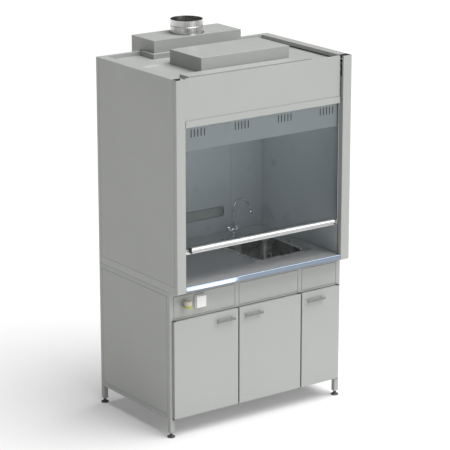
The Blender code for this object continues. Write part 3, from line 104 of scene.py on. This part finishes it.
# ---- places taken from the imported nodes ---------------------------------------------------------
COLUMN_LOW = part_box("column_left")[0]
FRONT = COLUMN_LOW[1]
RIGHT = -COLUMN_LOW[0]
WALL_LOW, WALL_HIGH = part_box("side_wall_left")
WALL_BOTTOM = WALL_LOW[2]
TOP = WALL_HIGH[2]
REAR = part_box("back_wall")[1][1]
BASE_LOW, BASE_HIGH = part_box("base_frame_left")
PANEL_LOW, PANEL_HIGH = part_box("base_panel_left")
LAMP_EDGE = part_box("lamp_housing")[1][0]
PLENUM_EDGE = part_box("exhaust_plenum")[1][0]
BAFFLE_LOW, BAFFLE_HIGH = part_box("baffle")
DOOR_LOW, DOOR_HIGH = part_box("door_left")
HEADER_LOW, HEADER_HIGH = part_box("header_panel")
FASCIA = {side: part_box("fascia_" + side) for side in ("left", "middle", "right")}
BULKHEAD_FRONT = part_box("bulkhead")[0][1]
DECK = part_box("sink")[1][2]
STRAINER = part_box("sink_waste")[1][2] - STRAINER_DROP
GRIP_LOW, GRIP_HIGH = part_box("sash_handle")
SIDES = (("left", -1), ("right", 1))


# ---- node helpers -------------------------------------------------------------------------------
class Tree:
    """A short way to write a material's nodes."""

    def __init__(self, name):
        self.material = bpy.data.materials.new(name)
        self.material.use_nodes = True
        self.nodes = self.material.node_tree.nodes
        self.links = self.material.node_tree.links
        self.shader = self.nodes["Principled BSDF"]
        self.output = self.nodes["Material Output"]
        self.place = self.nodes.new("ShaderNodeTexCoord").outputs["Object"]

    def link(self, source, target):
        self.links.new(source, target)

    def stretched(self, scale):
        node = self.nodes.new("ShaderNodeMapping")
        node.inputs["Scale"].default_value = scale
        self.link(self.place, node.inputs["Vector"])
        return node.outputs["Vector"]

    def noise(self, scale, detail, place=None):
        node = self.nodes.new("ShaderNodeTexNoise")
        node.inputs["Scale"].default_value = scale
        node.inputs["Detail"].default_value = detail
        self.link(place or self.place, node.inputs["Vector"])
        return node.outputs["Fac"]

    def remap(self, value, low, high, to_low, to_high):
        node = self.nodes.new("ShaderNodeMapRange")
        node.inputs["From Min"].default_value = low
        node.inputs["From Max"].default_value = high
        node.inputs["To Min"].default_value = to_low
        node.inputs["To Max"].default_value = to_high
        self.link(value, node.inputs["Value"])
        return node.outputs["Result"]

    def blend(self, value, first, second):
        node = self.nodes.new("ShaderNodeMix")
        node.data_type = "RGBA"
        self.link(value, node.inputs["Factor"])
        for socket, colour in ((node.inputs[6], first), (node.inputs[7], second)):
            if isinstance(colour, tuple):
                socket.default_value = (*colour, 1.0)
            else:
                self.link(colour, socket)
        return node.outputs[2]

    def height(self):
        node = self.nodes.new("ShaderNodeSeparateXYZ")
        self.link(self.place, node.inputs["Vector"])
        return node.outputs["Z"]

    def bump(self, value, strength, distance):
        node = self.nodes.new("ShaderNodeBump")
        node.inputs["Strength"].default_value = strength
        node.inputs["Distance"].default_value = distance
        self.link(value, node.inputs["Height"])
        self.link(node.outputs["Normal"], self.shader.inputs["Normal"])

    def set(self, **values):
        for name, value in values.items():
            self.shader.inputs[name.replace("_", " ")].default_value = value


def shade(colour, factor):
    return tuple(min(1.0, c * factor) for c in colour)


def powder_coat(name, colour, low=0.36, high=0.46, peel=0.10, lower=None):
    """Satin paint. Where lower is given, it is the colour below the side walls' lower edge."""
    tree = Tree(name)
    cloud = tree.remap(tree.noise(2.2, 4.0), 0.35, 0.65, 0.0, 1.0)
    tint = tree.blend(cloud, shade(colour, 0.985), shade(colour, 1.015))
    if lower:
        tint = tree.blend(tree.remap(tree.height(), WALL_BOTTOM - 0.001, WALL_BOTTOM, 0.0, 1.0), lower, tint)
    # Up to about 5 % darker towards the floor, fading out 0.22 m up.
    darker_low = tree.remap(tree.height(), 0.0, 0.22, 0.35, 0.0)
    tint = tree.blend(darker_low, tint, shade(colour, 0.86))
    tree.link(tint, tree.shader.inputs["Base Color"])
    tree.link(tree.remap(tree.noise(9.0, 5.0), 0.3, 0.7, low, high), tree.shader.inputs["Roughness"])
    tree.bump(tree.noise(1400.0, 2.0), peel, 0.00025)
    return tree.material


def slab(name, colour):
    tree = Tree(name)
    speck = tree.remap(tree.noise(520.0, 2.0), 0.48, 0.60, 0.0, 1.0)
    tint = tree.blend(speck, shade(colour, 0.93), shade(colour, 1.10))
    cloud = tree.remap(tree.noise(6.0, 5.0), 0.35, 0.65, 0.0, 0.5)
    tint = tree.blend(cloud, tint, shade(colour, 1.04))
    tree.link(tint, tree.shader.inputs["Base Color"])
    tree.link(tree.remap(tree.noise(18.0, 5.0), 0.3, 0.7, 0.30, 0.42), tree.shader.inputs["Roughness"])
    tree.bump(tree.noise(800.0, 2.0), 0.06, 0.0002)
    return tree.material


def brushed(name, colour, along, low=0.22, high=0.36):
    tree = Tree(name)
    scale = tuple(4.0 if axis == along else 700.0 for axis in "xyz")
    streak = tree.noise(1.0, 3.0, tree.stretched(scale))
    tint = tree.blend(tree.remap(streak, 0.3, 0.7, 0.0, 1.0), shade(colour, 0.94), shade(colour, 1.05))
    tree.link(tint, tree.shader.inputs["Base Color"])
    smear = tree.noise(14.0, 4.0)
    tree.link(tree.remap(smear, 0.3, 0.7, low, high), tree.shader.inputs["Roughness"])
    tree.bump(streak, 0.05, 0.0002)
    tree.set(Metallic=1.0)
    return tree.material


def polished(name, colour):
    tree = Tree(name)
    tint = tree.blend(tree.noise(30.0, 3.0), shade(colour, 0.97), shade(colour, 1.02))
    tree.link(tint, tree.shader.inputs["Base Color"])
    tree.link(tree.remap(tree.noise(60.0, 5.0), 0.3, 0.7, 0.04, 0.10), tree.shader.inputs["Roughness"])
    tree.set(Metallic=1.0)
    return tree.material


def plastic(name, colour, low, high, grain=0.10, scale=1100.0):
    tree = Tree(name)
    tint = tree.blend(tree.noise(24.0, 4.0), shade(colour, 0.95), shade(colour, 1.05))
    tree.link(tint, tree.shader.inputs["Base Color"])
    tree.link(tree.remap(tree.noise(40.0, 4.0), 0.3, 0.7, low, high), tree.shader.inputs["Roughness"])
    tree.bump(tree.noise(scale, 2.0), grain, 0.0002)
    return tree.material


def pane(name, through, haze):
    """Tinted glass: what is behind shows through, and the surface mirrors more at a slant."""
    tree = Tree(name)
    clear = tree.nodes.new("ShaderNodeBsdfTransparent")
    clear.inputs["Color"].default_value = (*through, 1.0)
    fresnel = tree.nodes.new("ShaderNodeFresnel")
    fresnel.inputs["IOR"].default_value = 1.5
    share = tree.remap(fresnel.outputs["Fac"], 0.0, 1.0, haze, 1.0)
    tint = tree.blend(tree.noise(5.0, 4.0), (0.20, 0.235, 0.25), (0.225, 0.26, 0.275))
    tree.link(tint, tree.shader.inputs["Base Color"])
    tree.link(tree.remap(tree.noise(12.0, 4.0), 0.3, 0.7, 0.03, 0.07), tree.shader.inputs["Roughness"])
    mix = tree.nodes.new("ShaderNodeMixShader")
    tree.link(share, mix.inputs["Fac"])
    tree.link(clear.outputs["BSDF"], mix.inputs[1])
    tree.link(tree.shader.outputs["BSDF"], mix.inputs[2])
    tree.link(mix.outputs["Shader"], tree.output.inputs["Surface"])
    return tree.material


def cast(name, colour):
    tree = Tree(name)
    tint = tree.blend(tree.noise(90.0, 5.0), shade(colour, 0.8), shade(colour, 1.2))
    tree.link(tint, tree.shader.inputs["Base Color"])
    tree.link(tree.remap(tree.noise(60.0, 4.0), 0.3, 0.7, 0.5, 0.7), tree.shader.inputs["Roughness"])
    tree.bump(tree.noise(300.0, 5.0), 0.35, 0.0006)
    return tree.material


def strand(name, colour):
    tree = Tree(name)
    wave = tree.nodes.new("ShaderNodeTexWave")
    wave.wave_type = "BANDS"
    wave.bands_direction = "DIAGONAL"
    wave.inputs["Scale"].default_value = 260.0
    tree.link(tree.place, wave.inputs["Vector"])
    # Painted shade: the darker half of each band stands in for the shade in the grooves between the strands.
    tint = tree.blend(wave.outputs["Fac"], shade(colour, 0.5), colour)
    tree.link(tint, tree.shader.inputs["Base Color"])
    tree.bump(wave.outputs["Fac"], 0.5, 0.0004)
    tree.set(Metallic=1.0, Roughness=0.35)
    return tree.material


def lit(material, colour, strength):
    """Adds the lamp's own light to an opal cover."""
    shader = material.node_tree.nodes["Principled BSDF"]
    shader.inputs["Emission Color"].default_value = (*colour, 1.0)
    shader.inputs["Emission Strength"].default_value = strength
    return material


LAMP_GLOW = 4.3
LAMP_LIGHT = (0.93, 0.98, 1.0)
PAINT_GREY = (0.40, 0.41, 0.395)
LINER_GREY = (0.44, 0.465, 0.475)
SKIRT_GREY = (0.41, 0.42, 0.405)    # the linings below the side walls
FINISH = {
    "grey_paint": powder_coat("grey_paint_finish", PAINT_GREY),
    "frame_paint": powder_coat("frame_paint_finish", PAINT_GREY),
    "liner_paint": powder_coat("liner_paint_finish", LINER_GREY, 0.26, 0.36, lower=SKIRT_GREY),
    "worktop_stone": slab("worktop_finish", (0.300, 0.300, 0.307)),
    "stainless_steel": brushed("stainless_finish", (0.62, 0.62, 0.61), "x"),
    "chrome": polished("chrome_finish", (0.72, 0.72, 0.73)),
    "aluminium": brushed("aluminium_finish", (0.62, 0.63, 0.62), "x", 0.34, 0.46),
    "tinted_glass": pane("tinted_glass_finish", (0.95, 0.965, 0.97), 0.02),
    "opal_glass": lit(plastic("opal_finish", (0.82, 0.84, 0.84), 0.30, 0.42, 0.05), LAMP_LIGHT, LAMP_GLOW),
    "handle_grey": plastic("handle_grey_finish", (0.185, 0.190, 0.195), 0.36, 0.48, 0.12),
    "dark_plastic": plastic("dark_plastic_finish", (0.060, 0.060, 0.064), 0.38, 0.52, 0.16),
    "white_plastic": plastic("white_plastic_finish", (0.80, 0.80, 0.79), 0.28, 0.38, 0.05),
    "beige_plastic": plastic("beige_plastic_finish", (0.52, 0.48, 0.40), 0.34, 0.46),
    "green_plastic": plastic("green_plastic_finish", (0.40, 0.44, 0.08), 0.26, 0.36, 0.06),
    "cast_iron": cast("cast_iron_finish", (0.060, 0.060, 0.060)),
    "cable_steel": strand("cable_finish", (0.42, 0.42, 0.42)),
    "waste_plastic": plastic("waste_finish", (0.66, 0.66, 0.65), 0.36, 0.48),
}
# Dark grey: the sealant lines and seams, and painted shade along the header's crease and round the baffle
# slot.
SEAM_AND_SHADE = plastic("seam_and_painted_shade_finish", (0.16, 0.17, 0.17), 0.5, 0.6)
ZINC = brushed("zinc_finish", (0.55, 0.55, 0.53), "z", 0.30, 0.45)
# Painted light: the bulkhead wears a much lighter copy of the liner paint, standing in for the light it gets
# behind the glass.
BULKHEAD_PAINTED_LIGHT = powder_coat("bulkhead_finish", (0.76, 0.80, 0.81), 0.26, 0.36)
TRIM_METAL = brushed("trim_finish", (0.24, 0.29, 0.36), "x", 0.03, 0.05)
# Near-black: the fascia's joint lines, and painted shade in the door gaps, behind the bulkhead's slots and in
# the strainer's holes.
JOINT_AND_SHADE_BLACK = plastic("joint_and_shade_black_finish", (0.020, 0.020, 0.021), 0.55, 0.70, 0.2)
RED_DOT = plastic("red_dot_finish", (0.55, 0.03, 0.02), 0.25, 0.35, 0.03)
BLUE_DOT = plastic("blue_dot_finish", (0.03, 0.12, 0.50), 0.25, 0.35, 0.03)

for node, cad in NODES.items():
    cad.data.materials.clear()
    cad.data.materials.append(FINISH[SLOT_OF[node]])


# ---- mesh helpers -------------------------------------------------------------------------------
def piece(name, mesh, finish, body, smooth=False):
    bmesh.ops.recalc_face_normals(mesh, faces=mesh.faces)
    data = bpy.data.meshes.new(name)
    mesh.to_mesh(data)
    mesh.free()
    if smooth:
        data.shade_smooth()
        data.set_sharp_from_angle(angle=math.radians(35))
    data.materials.append(finish)
    made = bpy.data.objects.new(name, data)
    bpy.context.collection.objects.link(made)
    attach(made, body)
    return made


def add_box(mesh, low, high, bevel=0.0):
    made = bmesh.ops.create_cube(mesh, size=1.0)
    size = [b - a for a, b in zip(low, high)]
    middle = [(a + b) / 2 for a, b in zip(low, high)]
    bmesh.ops.scale(mesh, verts=made["verts"], vec=size)
    bmesh.ops.translate(mesh, verts=made["verts"], vec=middle)
    if bevel:
        edges = list({e for v in made["verts"] for e in v.link_edges})
        bmesh.ops.bevel(mesh, geom=edges, offset=bevel, segments=2, profile=0.5, affect="EDGES")


def add_turned(mesh, profile, centre, direction, segments=24):
    turn = Vector(direction).to_track_quat("Z", "Y").to_matrix()
    loops = []
    for radius, height in profile:
        count = 1 if radius < 1e-9 else segments
        loop = []
        for i in range(count):
            angle = 2 * math.pi * i / segments
            spot = Vector((radius * math.cos(angle), radius * math.sin(angle), height))
            loop.append(mesh.verts.new(Vector(centre) + turn @ spot))
        loops.append(loop)
    for a, b in zip(loops, loops[1:]):
        for i in range(segments):
            j = (i + 1) % segments
            corners = [a[i % len(a)], a[j % len(a)], b[j % len(b)], b[i % len(b)]]
            mesh.faces.new(list(dict.fromkeys(corners)))


def folded_copy(node):
    """The node's own shape with its bends and edges rounded as on real folded sheet."""
    source = NODES[node]
    mesh = bmesh.new()
    mesh.from_mesh(source.data)
    bmesh.ops.remove_doubles(mesh, verts=mesh.verts, dist=1e-5)
    bmesh.ops.dissolve_limit(mesh, angle_limit=math.radians(0.5), verts=mesh.verts, edges=mesh.edges)
    layer = mesh.edges.layers.float.new("bevel_weight_edge")
    for edge in mesh.edges:
        if len(edge.link_faces) != 2 or edge.calc_face_angle(0.0) < BEND_ANGLE:
            continue
        width = min(face.calc_area() / max(edge.calc_length(), 1e-6) for face in edge.link_faces)
        edge[layer] = min(1.0, 0.32 * width / BEND_RADIUS)
    data = bpy.data.meshes.new(node + "_finish")
    mesh.to_mesh(data)
    mesh.free()
    data.shade_smooth()
    data.materials.append(FINISH[SLOT_OF[node]])
    made = bpy.data.objects.new(node + "_finish", data)
    bpy.context.collection.objects.link(made)
    soft = made.modifiers.new("bends", "BEVEL")
    soft.limit_method = "WEIGHT"
    soft.width = BEND_RADIUS
    soft.segments = 3
    soft.use_clamp_overlap = True
    even = made.modifiers.new("even_shading", "WEIGHTED_NORMAL")
    even.keep_sharp = False
    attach(made, BODY_OF[node])
    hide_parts(node)


def screw(name, spot, direction):
    """A pan-head screw with a round recess in its head."""
    mesh = bmesh.new()
    r = SCREW_RADIUS
    profile = [(0.0, -HEAD_SUNK), (r, -HEAD_SUNK), (r, 0.0006), (r * 0.8, 0.0015), (r * 0.45, 0.0020),
               (r * 0.40, 0.0012), (0.0, 0.0010)]
    add_turned(mesh, profile, spot, direction, 16)
    piece(name, mesh, ZINC, "hood", True)


def cap(name, spot, direction):
    """A painted screw cap."""
    mesh = bmesh.new()
    r = CAP_RADIUS
    profile = [(0.0, -HEAD_SUNK), (r, -HEAD_SUNK), (r, 0.0005), (r * 0.8, 0.0012), (0.0, 0.0016)]
    add_turned(mesh, profile, spot, direction, 18)
    piece(name, mesh, FINISH["grey_paint"], "hood", True)


# ---- rounded sheet metal ------------------------------------------------------------------------
for node in ("base_frame_left", "base_frame_right", "base_front_frame", "base_panel_left", "base_panel_right",
             "fascia_left", "fascia_middle", "fascia_right", "door_left", "door_middle", "door_right",
             "column_left", "column_right", "side_wall_left", "side_wall_right", "back_wall", "header_panel",
             "roof_panel", "lamp_housing", "exhaust_plenum", "worktop", "worktop_trim", "sash_frame",
             "lining_left", "lining_right", "baffle", "bulkhead"):
    folded_copy(node)
bpy.data.objects["worktop_trim_finish"].data.materials[0] = TRIM_METAL
# The bulkhead's lighter paint is painted light, not a paint of its own.
bpy.data.objects["bulkhead_finish"].data.materials[0] = BULKHEAD_PAINTED_LIGHT


def strip(name, low, high, finish=SEAM_AND_SHADE):
    mesh = bmesh.new()
    add_box(mesh, low, high)
    piece(name, mesh, finish, "hood")


def side_line(name, side, y0, y1, z0, z1):
    """A sealant line on the outer face of one side."""
    x0, x1 = sorted((side * (RIGHT - SEAM_SUNK), side * (RIGHT + PROUD)))
    strip(name, (x0, y0, z0), (x1, y1, z1))


# ---- sealant lines, and painted shade along the header's crease ---------------------------------
half = SEAM_WIDTH / 2
for label, side in SIDES:
    front_y, rear_y = WALL_LOW[1], WALL_HIGH[1]
    side_line("seam_front_" + label, side, front_y - half, front_y + half, WALL_LOW[2], TOP)
    side_line("seam_rear_" + label, side, rear_y - half, rear_y + half, WALL_LOW[2], TOP)
    side_line("seam_wall_foot_" + label, side, front_y, REAR - SEAM_WIDTH,
              WALL_BOTTOM - half, WALL_BOTTOM + half)
    side_line("seam_base_top_" + label, side, BASE_LOW[1], BASE_HIGH[1],
              BASE_HIGH[2] - half, BASE_HIGH[2] + half)
    for end, y in (("front", PANEL_LOW[1]), ("rear", PANEL_HIGH[1])):
        side_line("seam_panel_%s_%s" % (end, label), side, y - half, y + half, PANEL_LOW[2], PANEL_HIGH[2])
    for end, z in (("low", PANEL_LOW[2]), ("high", PANEL_HIGH[2])):
        side_line("seam_panel_%s_%s" % (end, label), side, PANEL_LOW[1], PANEL_HIGH[1], z - half, z + half)
    x = side * BAFFLE_SEAM
    strip("seam_baffle_" + label, (x - half, BAFFLE_LOW[1] - PROUD, BAFFLE_LOW[2]),
          (x + half, BAFFLE_LOW[1] + half, BAFFLE_HIGH[2]))

for label, (low, high) in FASCIA.items():
    y0, y1 = low[1] + FASCIA_LINE[0], low[1] + FASCIA_LINE[1]
    for end, x in (("near", low[0]), ("far", high[0])):
        strip("fascia_line_%s_%s" % (end, label), (x - 0.0013, y0, low[2]), (x + 0.0004, y1, high[2]), JOINT_AND_SHADE_BLACK)
    for end, z in (("low", low[2]), ("high", high[2])):
        strip("fascia_line_%s_%s" % (end, label), (low[0], y0, z - FASCIA_EDGE),
              (high[0], y1, z + FASCIA_EDGE), JOINT_AND_SHADE_BLACK)
# A dark strip along the header's crease paints the crease's shade.
crease_y = HEADER_LOW[1] + CREASE_SETBACK
strip("header_crease_shade", (HEADER_LOW[0] + 0.001, crease_y - PROUD, CREASE_Z + 0.0002),
      (HEADER_HIGH[0] - 0.001, crease_y + half, CREASE_Z + 0.0014))

# ---- painted shade in the door gaps: dark strips behind them ------------------------------------
# Dark strips behind the door gaps paint the gaps' shade.
gap_shade_front, gap_shade_back = DOOR_HIGH[1] + GAP_SHADE[0], DOOR_HIGH[1] + GAP_SHADE[1]
for label, first, second in (("left", "door_left", "door_middle"), ("right", "door_middle", "door_right")):
    x0, x1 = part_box(first)[1][0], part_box(second)[0][0]
    strip("door_gap_shade_" + label, (x0 - GAP_SHADE_LAP, gap_shade_front, DOOR_LOW[2]),
          (x1 + GAP_SHADE_LAP, gap_shade_back, DOOR_HIGH[2]), JOINT_AND_SHADE_BLACK)
strip("door_gap_shade_top", (DOOR_LOW[0] + GAP_SHADE_END, gap_shade_front, DOOR_HIGH[2] - GAP_SHADE_LAP),
      (-DOOR_LOW[0] - GAP_SHADE_END, gap_shade_back, DOOR_HIGH[2] + GAP_SHADE_RISE), JOINT_AND_SHADE_BLACK)

# ---- screws and caps ----------------------------------------------------------------------------
for label, side in SIDES:
    for i, (x, y) in enumerate(FLANGE_SCREWS):
        screw("flange_screw_%s_%d" % (label, i), (side * x, FRONT + y, TOP), (0, 0, 1))
    for i, (y, z) in enumerate(WALL_CAPS):
        cap("wall_cap_%s_%d" % (label, i), (side * RIGHT, FRONT + y, z), (side, 0, 0))
    screw("lamp_screw_" + label, (side * LAMP_EDGE, FRONT + LAMP_SCREW[0], LAMP_SCREW[1]), (side, 0, 0))
    spot = (side * PLENUM_EDGE, FRONT + COLLAR_SCREW[0], COLLAR_SCREW[1])
    screw("collar_screw_" + label, spot, (side, 0, 0))
for i, (x, z) in enumerate(BACK_SCREWS):
    screw("back_screw_%d" % i, (x, REAR, z), (0, 1, 0))

# ---- painted shade: dark sheets behind the slots, a dark ring round the baffle slot -------------
# Dark sheets just behind each slot group paint the shade inside the slots.
for group in range(SLOT_GROUPS):
    x = (group - (SLOT_GROUPS - 1) / 2) * SLOT_PITCH + SLOT_X
    low = (x - SLOT_SHADE_HALF[0], BULKHEAD_FRONT + SLOT_SHADE_DEPTH[0], SLOT_Z - SLOT_SHADE_HALF[1])
    high = (x + SLOT_SHADE_HALF[0], BULKHEAD_FRONT + SLOT_SHADE_DEPTH[1], SLOT_Z + SLOT_SHADE_HALF[1])
    strip("slot_gauze_%d" % group, low, high, JOINT_AND_SHADE_BLACK)


def oval_ring(name, centre, half_u, half_v, radius, axes, finish):
    """A round wire bent into a rounded rectangle."""
    u, v = Vector(axes[0]), Vector(axes[1])
    w = u.cross(v)
    corners = ((1, 1, 0), (-1, 1, 90), (-1, -1, 180), (1, -1, 270))
    mesh = bmesh.new()
    loops = []
    for su, sv, start in corners:
        for step in range(7):
            angle = math.radians(start + 15 * step)
            out = u * math.cos(angle) + v * math.sin(angle)
            corner = Vector(centre) + u * su * (half_u - radius) + v * sv * (half_v - radius)
            spot = corner + out * radius
            ring = []
            for k in range(8):
                turn = math.radians(45 * k)
                ring.append(mesh.verts.new(spot + (out * math.cos(turn) + w * math.sin(turn)) * WIRE))
            loops.append(ring)
    for i, a in enumerate(loops):
        b = loops[(i + 1) % len(loops)]
        for k in range(8):
            mesh.faces.new((a[k], a[(k + 1) % 8], b[(k + 1) % 8], b[k]))
    piece(name, mesh, finish, "hood", True)


# A dark ring round the baffle slot paints the shade of the slot's inner faces.
oval_ring("baffle_slot_shade_ring", (0.0, BAFFLE_LOW[1], BAFFLE_SLOT_Z), 0.286, 0.032, 0.021,
          ((1, 0, 0), (0, 0, 1)), SEAM_AND_SHADE)

# ---- sink, mixer and sash fittings --------------------------------------------------------------
oval_ring("overflow_ring", (OVERFLOW[0], FRONT + OVERFLOW[1], DECK), 0.020, 0.009, 0.0088,
          ((1, 0, 0), (0, 1, 0)), FINISH["chrome"])
# Dark discs on the strainer paint the shade of its holes.
for i in range(HOLE_COUNT):
    angle = math.radians(360 / HOLE_COUNT * i + 10)
    spot = (SINK_X + HOLE_CIRCLE * math.cos(angle), FRONT + DRAIN_Y + HOLE_CIRCLE * math.sin(angle), STRAINER)
    mesh = bmesh.new()
    disc = [(0, 0.0), (HOLE_RADIUS, 0.0), (HOLE_RADIUS, HOLE_DISC), (0, HOLE_DISC)]
    add_turned(mesh, disc, spot, (0, 0, 1), 12)
    piece("strainer_hole_%d" % i, mesh, JOINT_AND_SHADE_BLACK, "hood", True)
for label, side, finish in (("hot", -1, RED_DOT), ("cold", 1, BLUE_DOT)):
    node = "faucet_handle_" + label
    tilt = Vector((side, 0, 1)).normalized()
    root = Vector((SINK_X, FRONT + BRANCH[0], BRANCH[1]))
    mesh = bmesh.new()
    dot = [(0, 0), (0.0034, 0), (0.0030, 0.0008), (0, 0.0011)]
    add_turned(mesh, dot, root + tilt * DOT_REACH, tilt, 14)
    piece(node + "_dot", mesh, finish, node, True)
for label, side in SIDES:
    x0, x1 = sorted((side * (GRIP_HIGH[0] - GRIP_CAP[0]), side * (GRIP_HIGH[0] + GRIP_CAP[1])))
    mesh = bmesh.new()
    add_box(mesh, (x0, GRIP_LOW[1] + 0.0004, GRIP_LOW[2] - GRIP_CAP_LAP),
            (x1, GRIP_HIGH[1], GRIP_HIGH[2] + GRIP_CAP_LAP), 0.003)
    piece("sash_handle_cap_" + label, mesh, FINISH["dark_plastic"], "sash", True)

# ---- camera, light and floor --------------------------------------------------------------------
AMBIENT = 0.175
SUN_FROM = (0.30, -0.30, 0.97)
SUN_STRENGTH = 4.0
SUN_SPREAD = 60.0
FLOOR_GLOW = 0.15         # keeps the shadow on the floor pale
FLOOR_REACH = 40.0
FLOOR_DROP = 0.0005       # floor below the feet
FILL_FROM = (1.2, -6.2, 3.4)
FILL_AT = (0.0, 0.0, 1.3)
FILL_SIZE = (3.0, 2.0)
FILL_POWER = 74.0
GLINT_FROM = (1.19, -2.75, 0.05)
GLINT_AT = (-0.40, -0.47, 0.94)
GLINT_SIZE = (0.40, 0.34)
GLINT_POWER = 1.55
SENSOR = 36.0
LENS = 173.1304
CAMERA_SPOT = (-7.4352, -10.4173, 4.8194)
AZIMUTH = math.radians(-35.6614)
ELEVATION = math.radians(16.0756)
ROLL = math.radians(-0.0239)
camera = bpy.data.objects.new("camera", bpy.data.cameras.new("camera"))
bpy.context.collection.objects.link(camera)
camera.data.sensor_width = SENSOR
camera.data.lens = LENS
camera.location = CAMERA_SPOT
back = Vector((math.sin(AZIMUTH) * math.cos(ELEVATION), -math.cos(AZIMUTH) * math.cos(ELEVATION),
               math.sin(ELEVATION)))
camera.rotation_mode = "QUATERNION"
camera.rotation_quaternion = (-back).to_track_quat("-Z", "Y") @ Matrix.Rotation(ROLL, 4, "Z").to_quaternion()
camera.data.clip_end = 100.0
bpy.context.scene.camera = camera

floor_tree = Tree("floor_finish")
floor_tint = floor_tree.blend(floor_tree.noise(0.8, 3.0), (0.67, 0.67, 0.67), (0.69, 0.69, 0.69))
floor_tree.link(floor_tint, floor_tree.shader.inputs["Base Color"])
floor_tree.set(Roughness=0.85, Emission_Strength=FLOOR_GLOW)
floor_tree.shader.inputs["Emission Color"].default_value = (1.0, 1.0, 1.0, 1.0)
floor_mesh = bmesh.new()
bmesh.ops.create_grid(floor_mesh, x_segments=4, y_segments=4, size=FLOOR_REACH)
floor_data = bpy.data.meshes.new("floor")
floor_mesh.to_mesh(floor_data)
floor_mesh.free()
floor_data.materials.append(floor_tree.material)
floor = bpy.data.objects.new("floor", floor_data)
floor.location.z = -FLOOR_DROP
bpy.context.collection.objects.link(floor)

world = bpy.data.worlds.new("studio")
bpy.context.scene.world = world
world.use_nodes = True
world.node_tree.nodes["Background"].inputs["Color"].default_value = (1.0, 1.0, 1.0, 1.0)
world.node_tree.nodes["Background"].inputs["Strength"].default_value = AMBIENT


def aimed(name, kind, spot, target):
    data = bpy.data.lights.new(name, kind)
    light = bpy.data.objects.new(name, data)
    light.location = spot
    light.rotation_mode = "QUATERNION"
    light.rotation_quaternion = (Vector(target) - Vector(spot)).to_track_quat("-Z", "Y")
    bpy.context.collection.objects.link(light)
    return data


sun = aimed("key", "SUN", SUN_FROM, (0.0, 0.0, 0.0))
sun.energy = SUN_STRENGTH
sun.angle = math.radians(SUN_SPREAD)
fill = aimed("fill", "AREA", FILL_FROM, FILL_AT)
fill.shape = "RECTANGLE"
fill.size, fill.size_y = FILL_SIZE
fill.energy = FILL_POWER
glint = aimed("trim_glint", "AREA", GLINT_FROM, GLINT_AT)
glint.shape = "RECTANGLE"
glint.size, glint.size_y = GLINT_SIZE
glint.energy = GLINT_POWER

bpy.context.scene.view_settings.view_transform = "Standard"
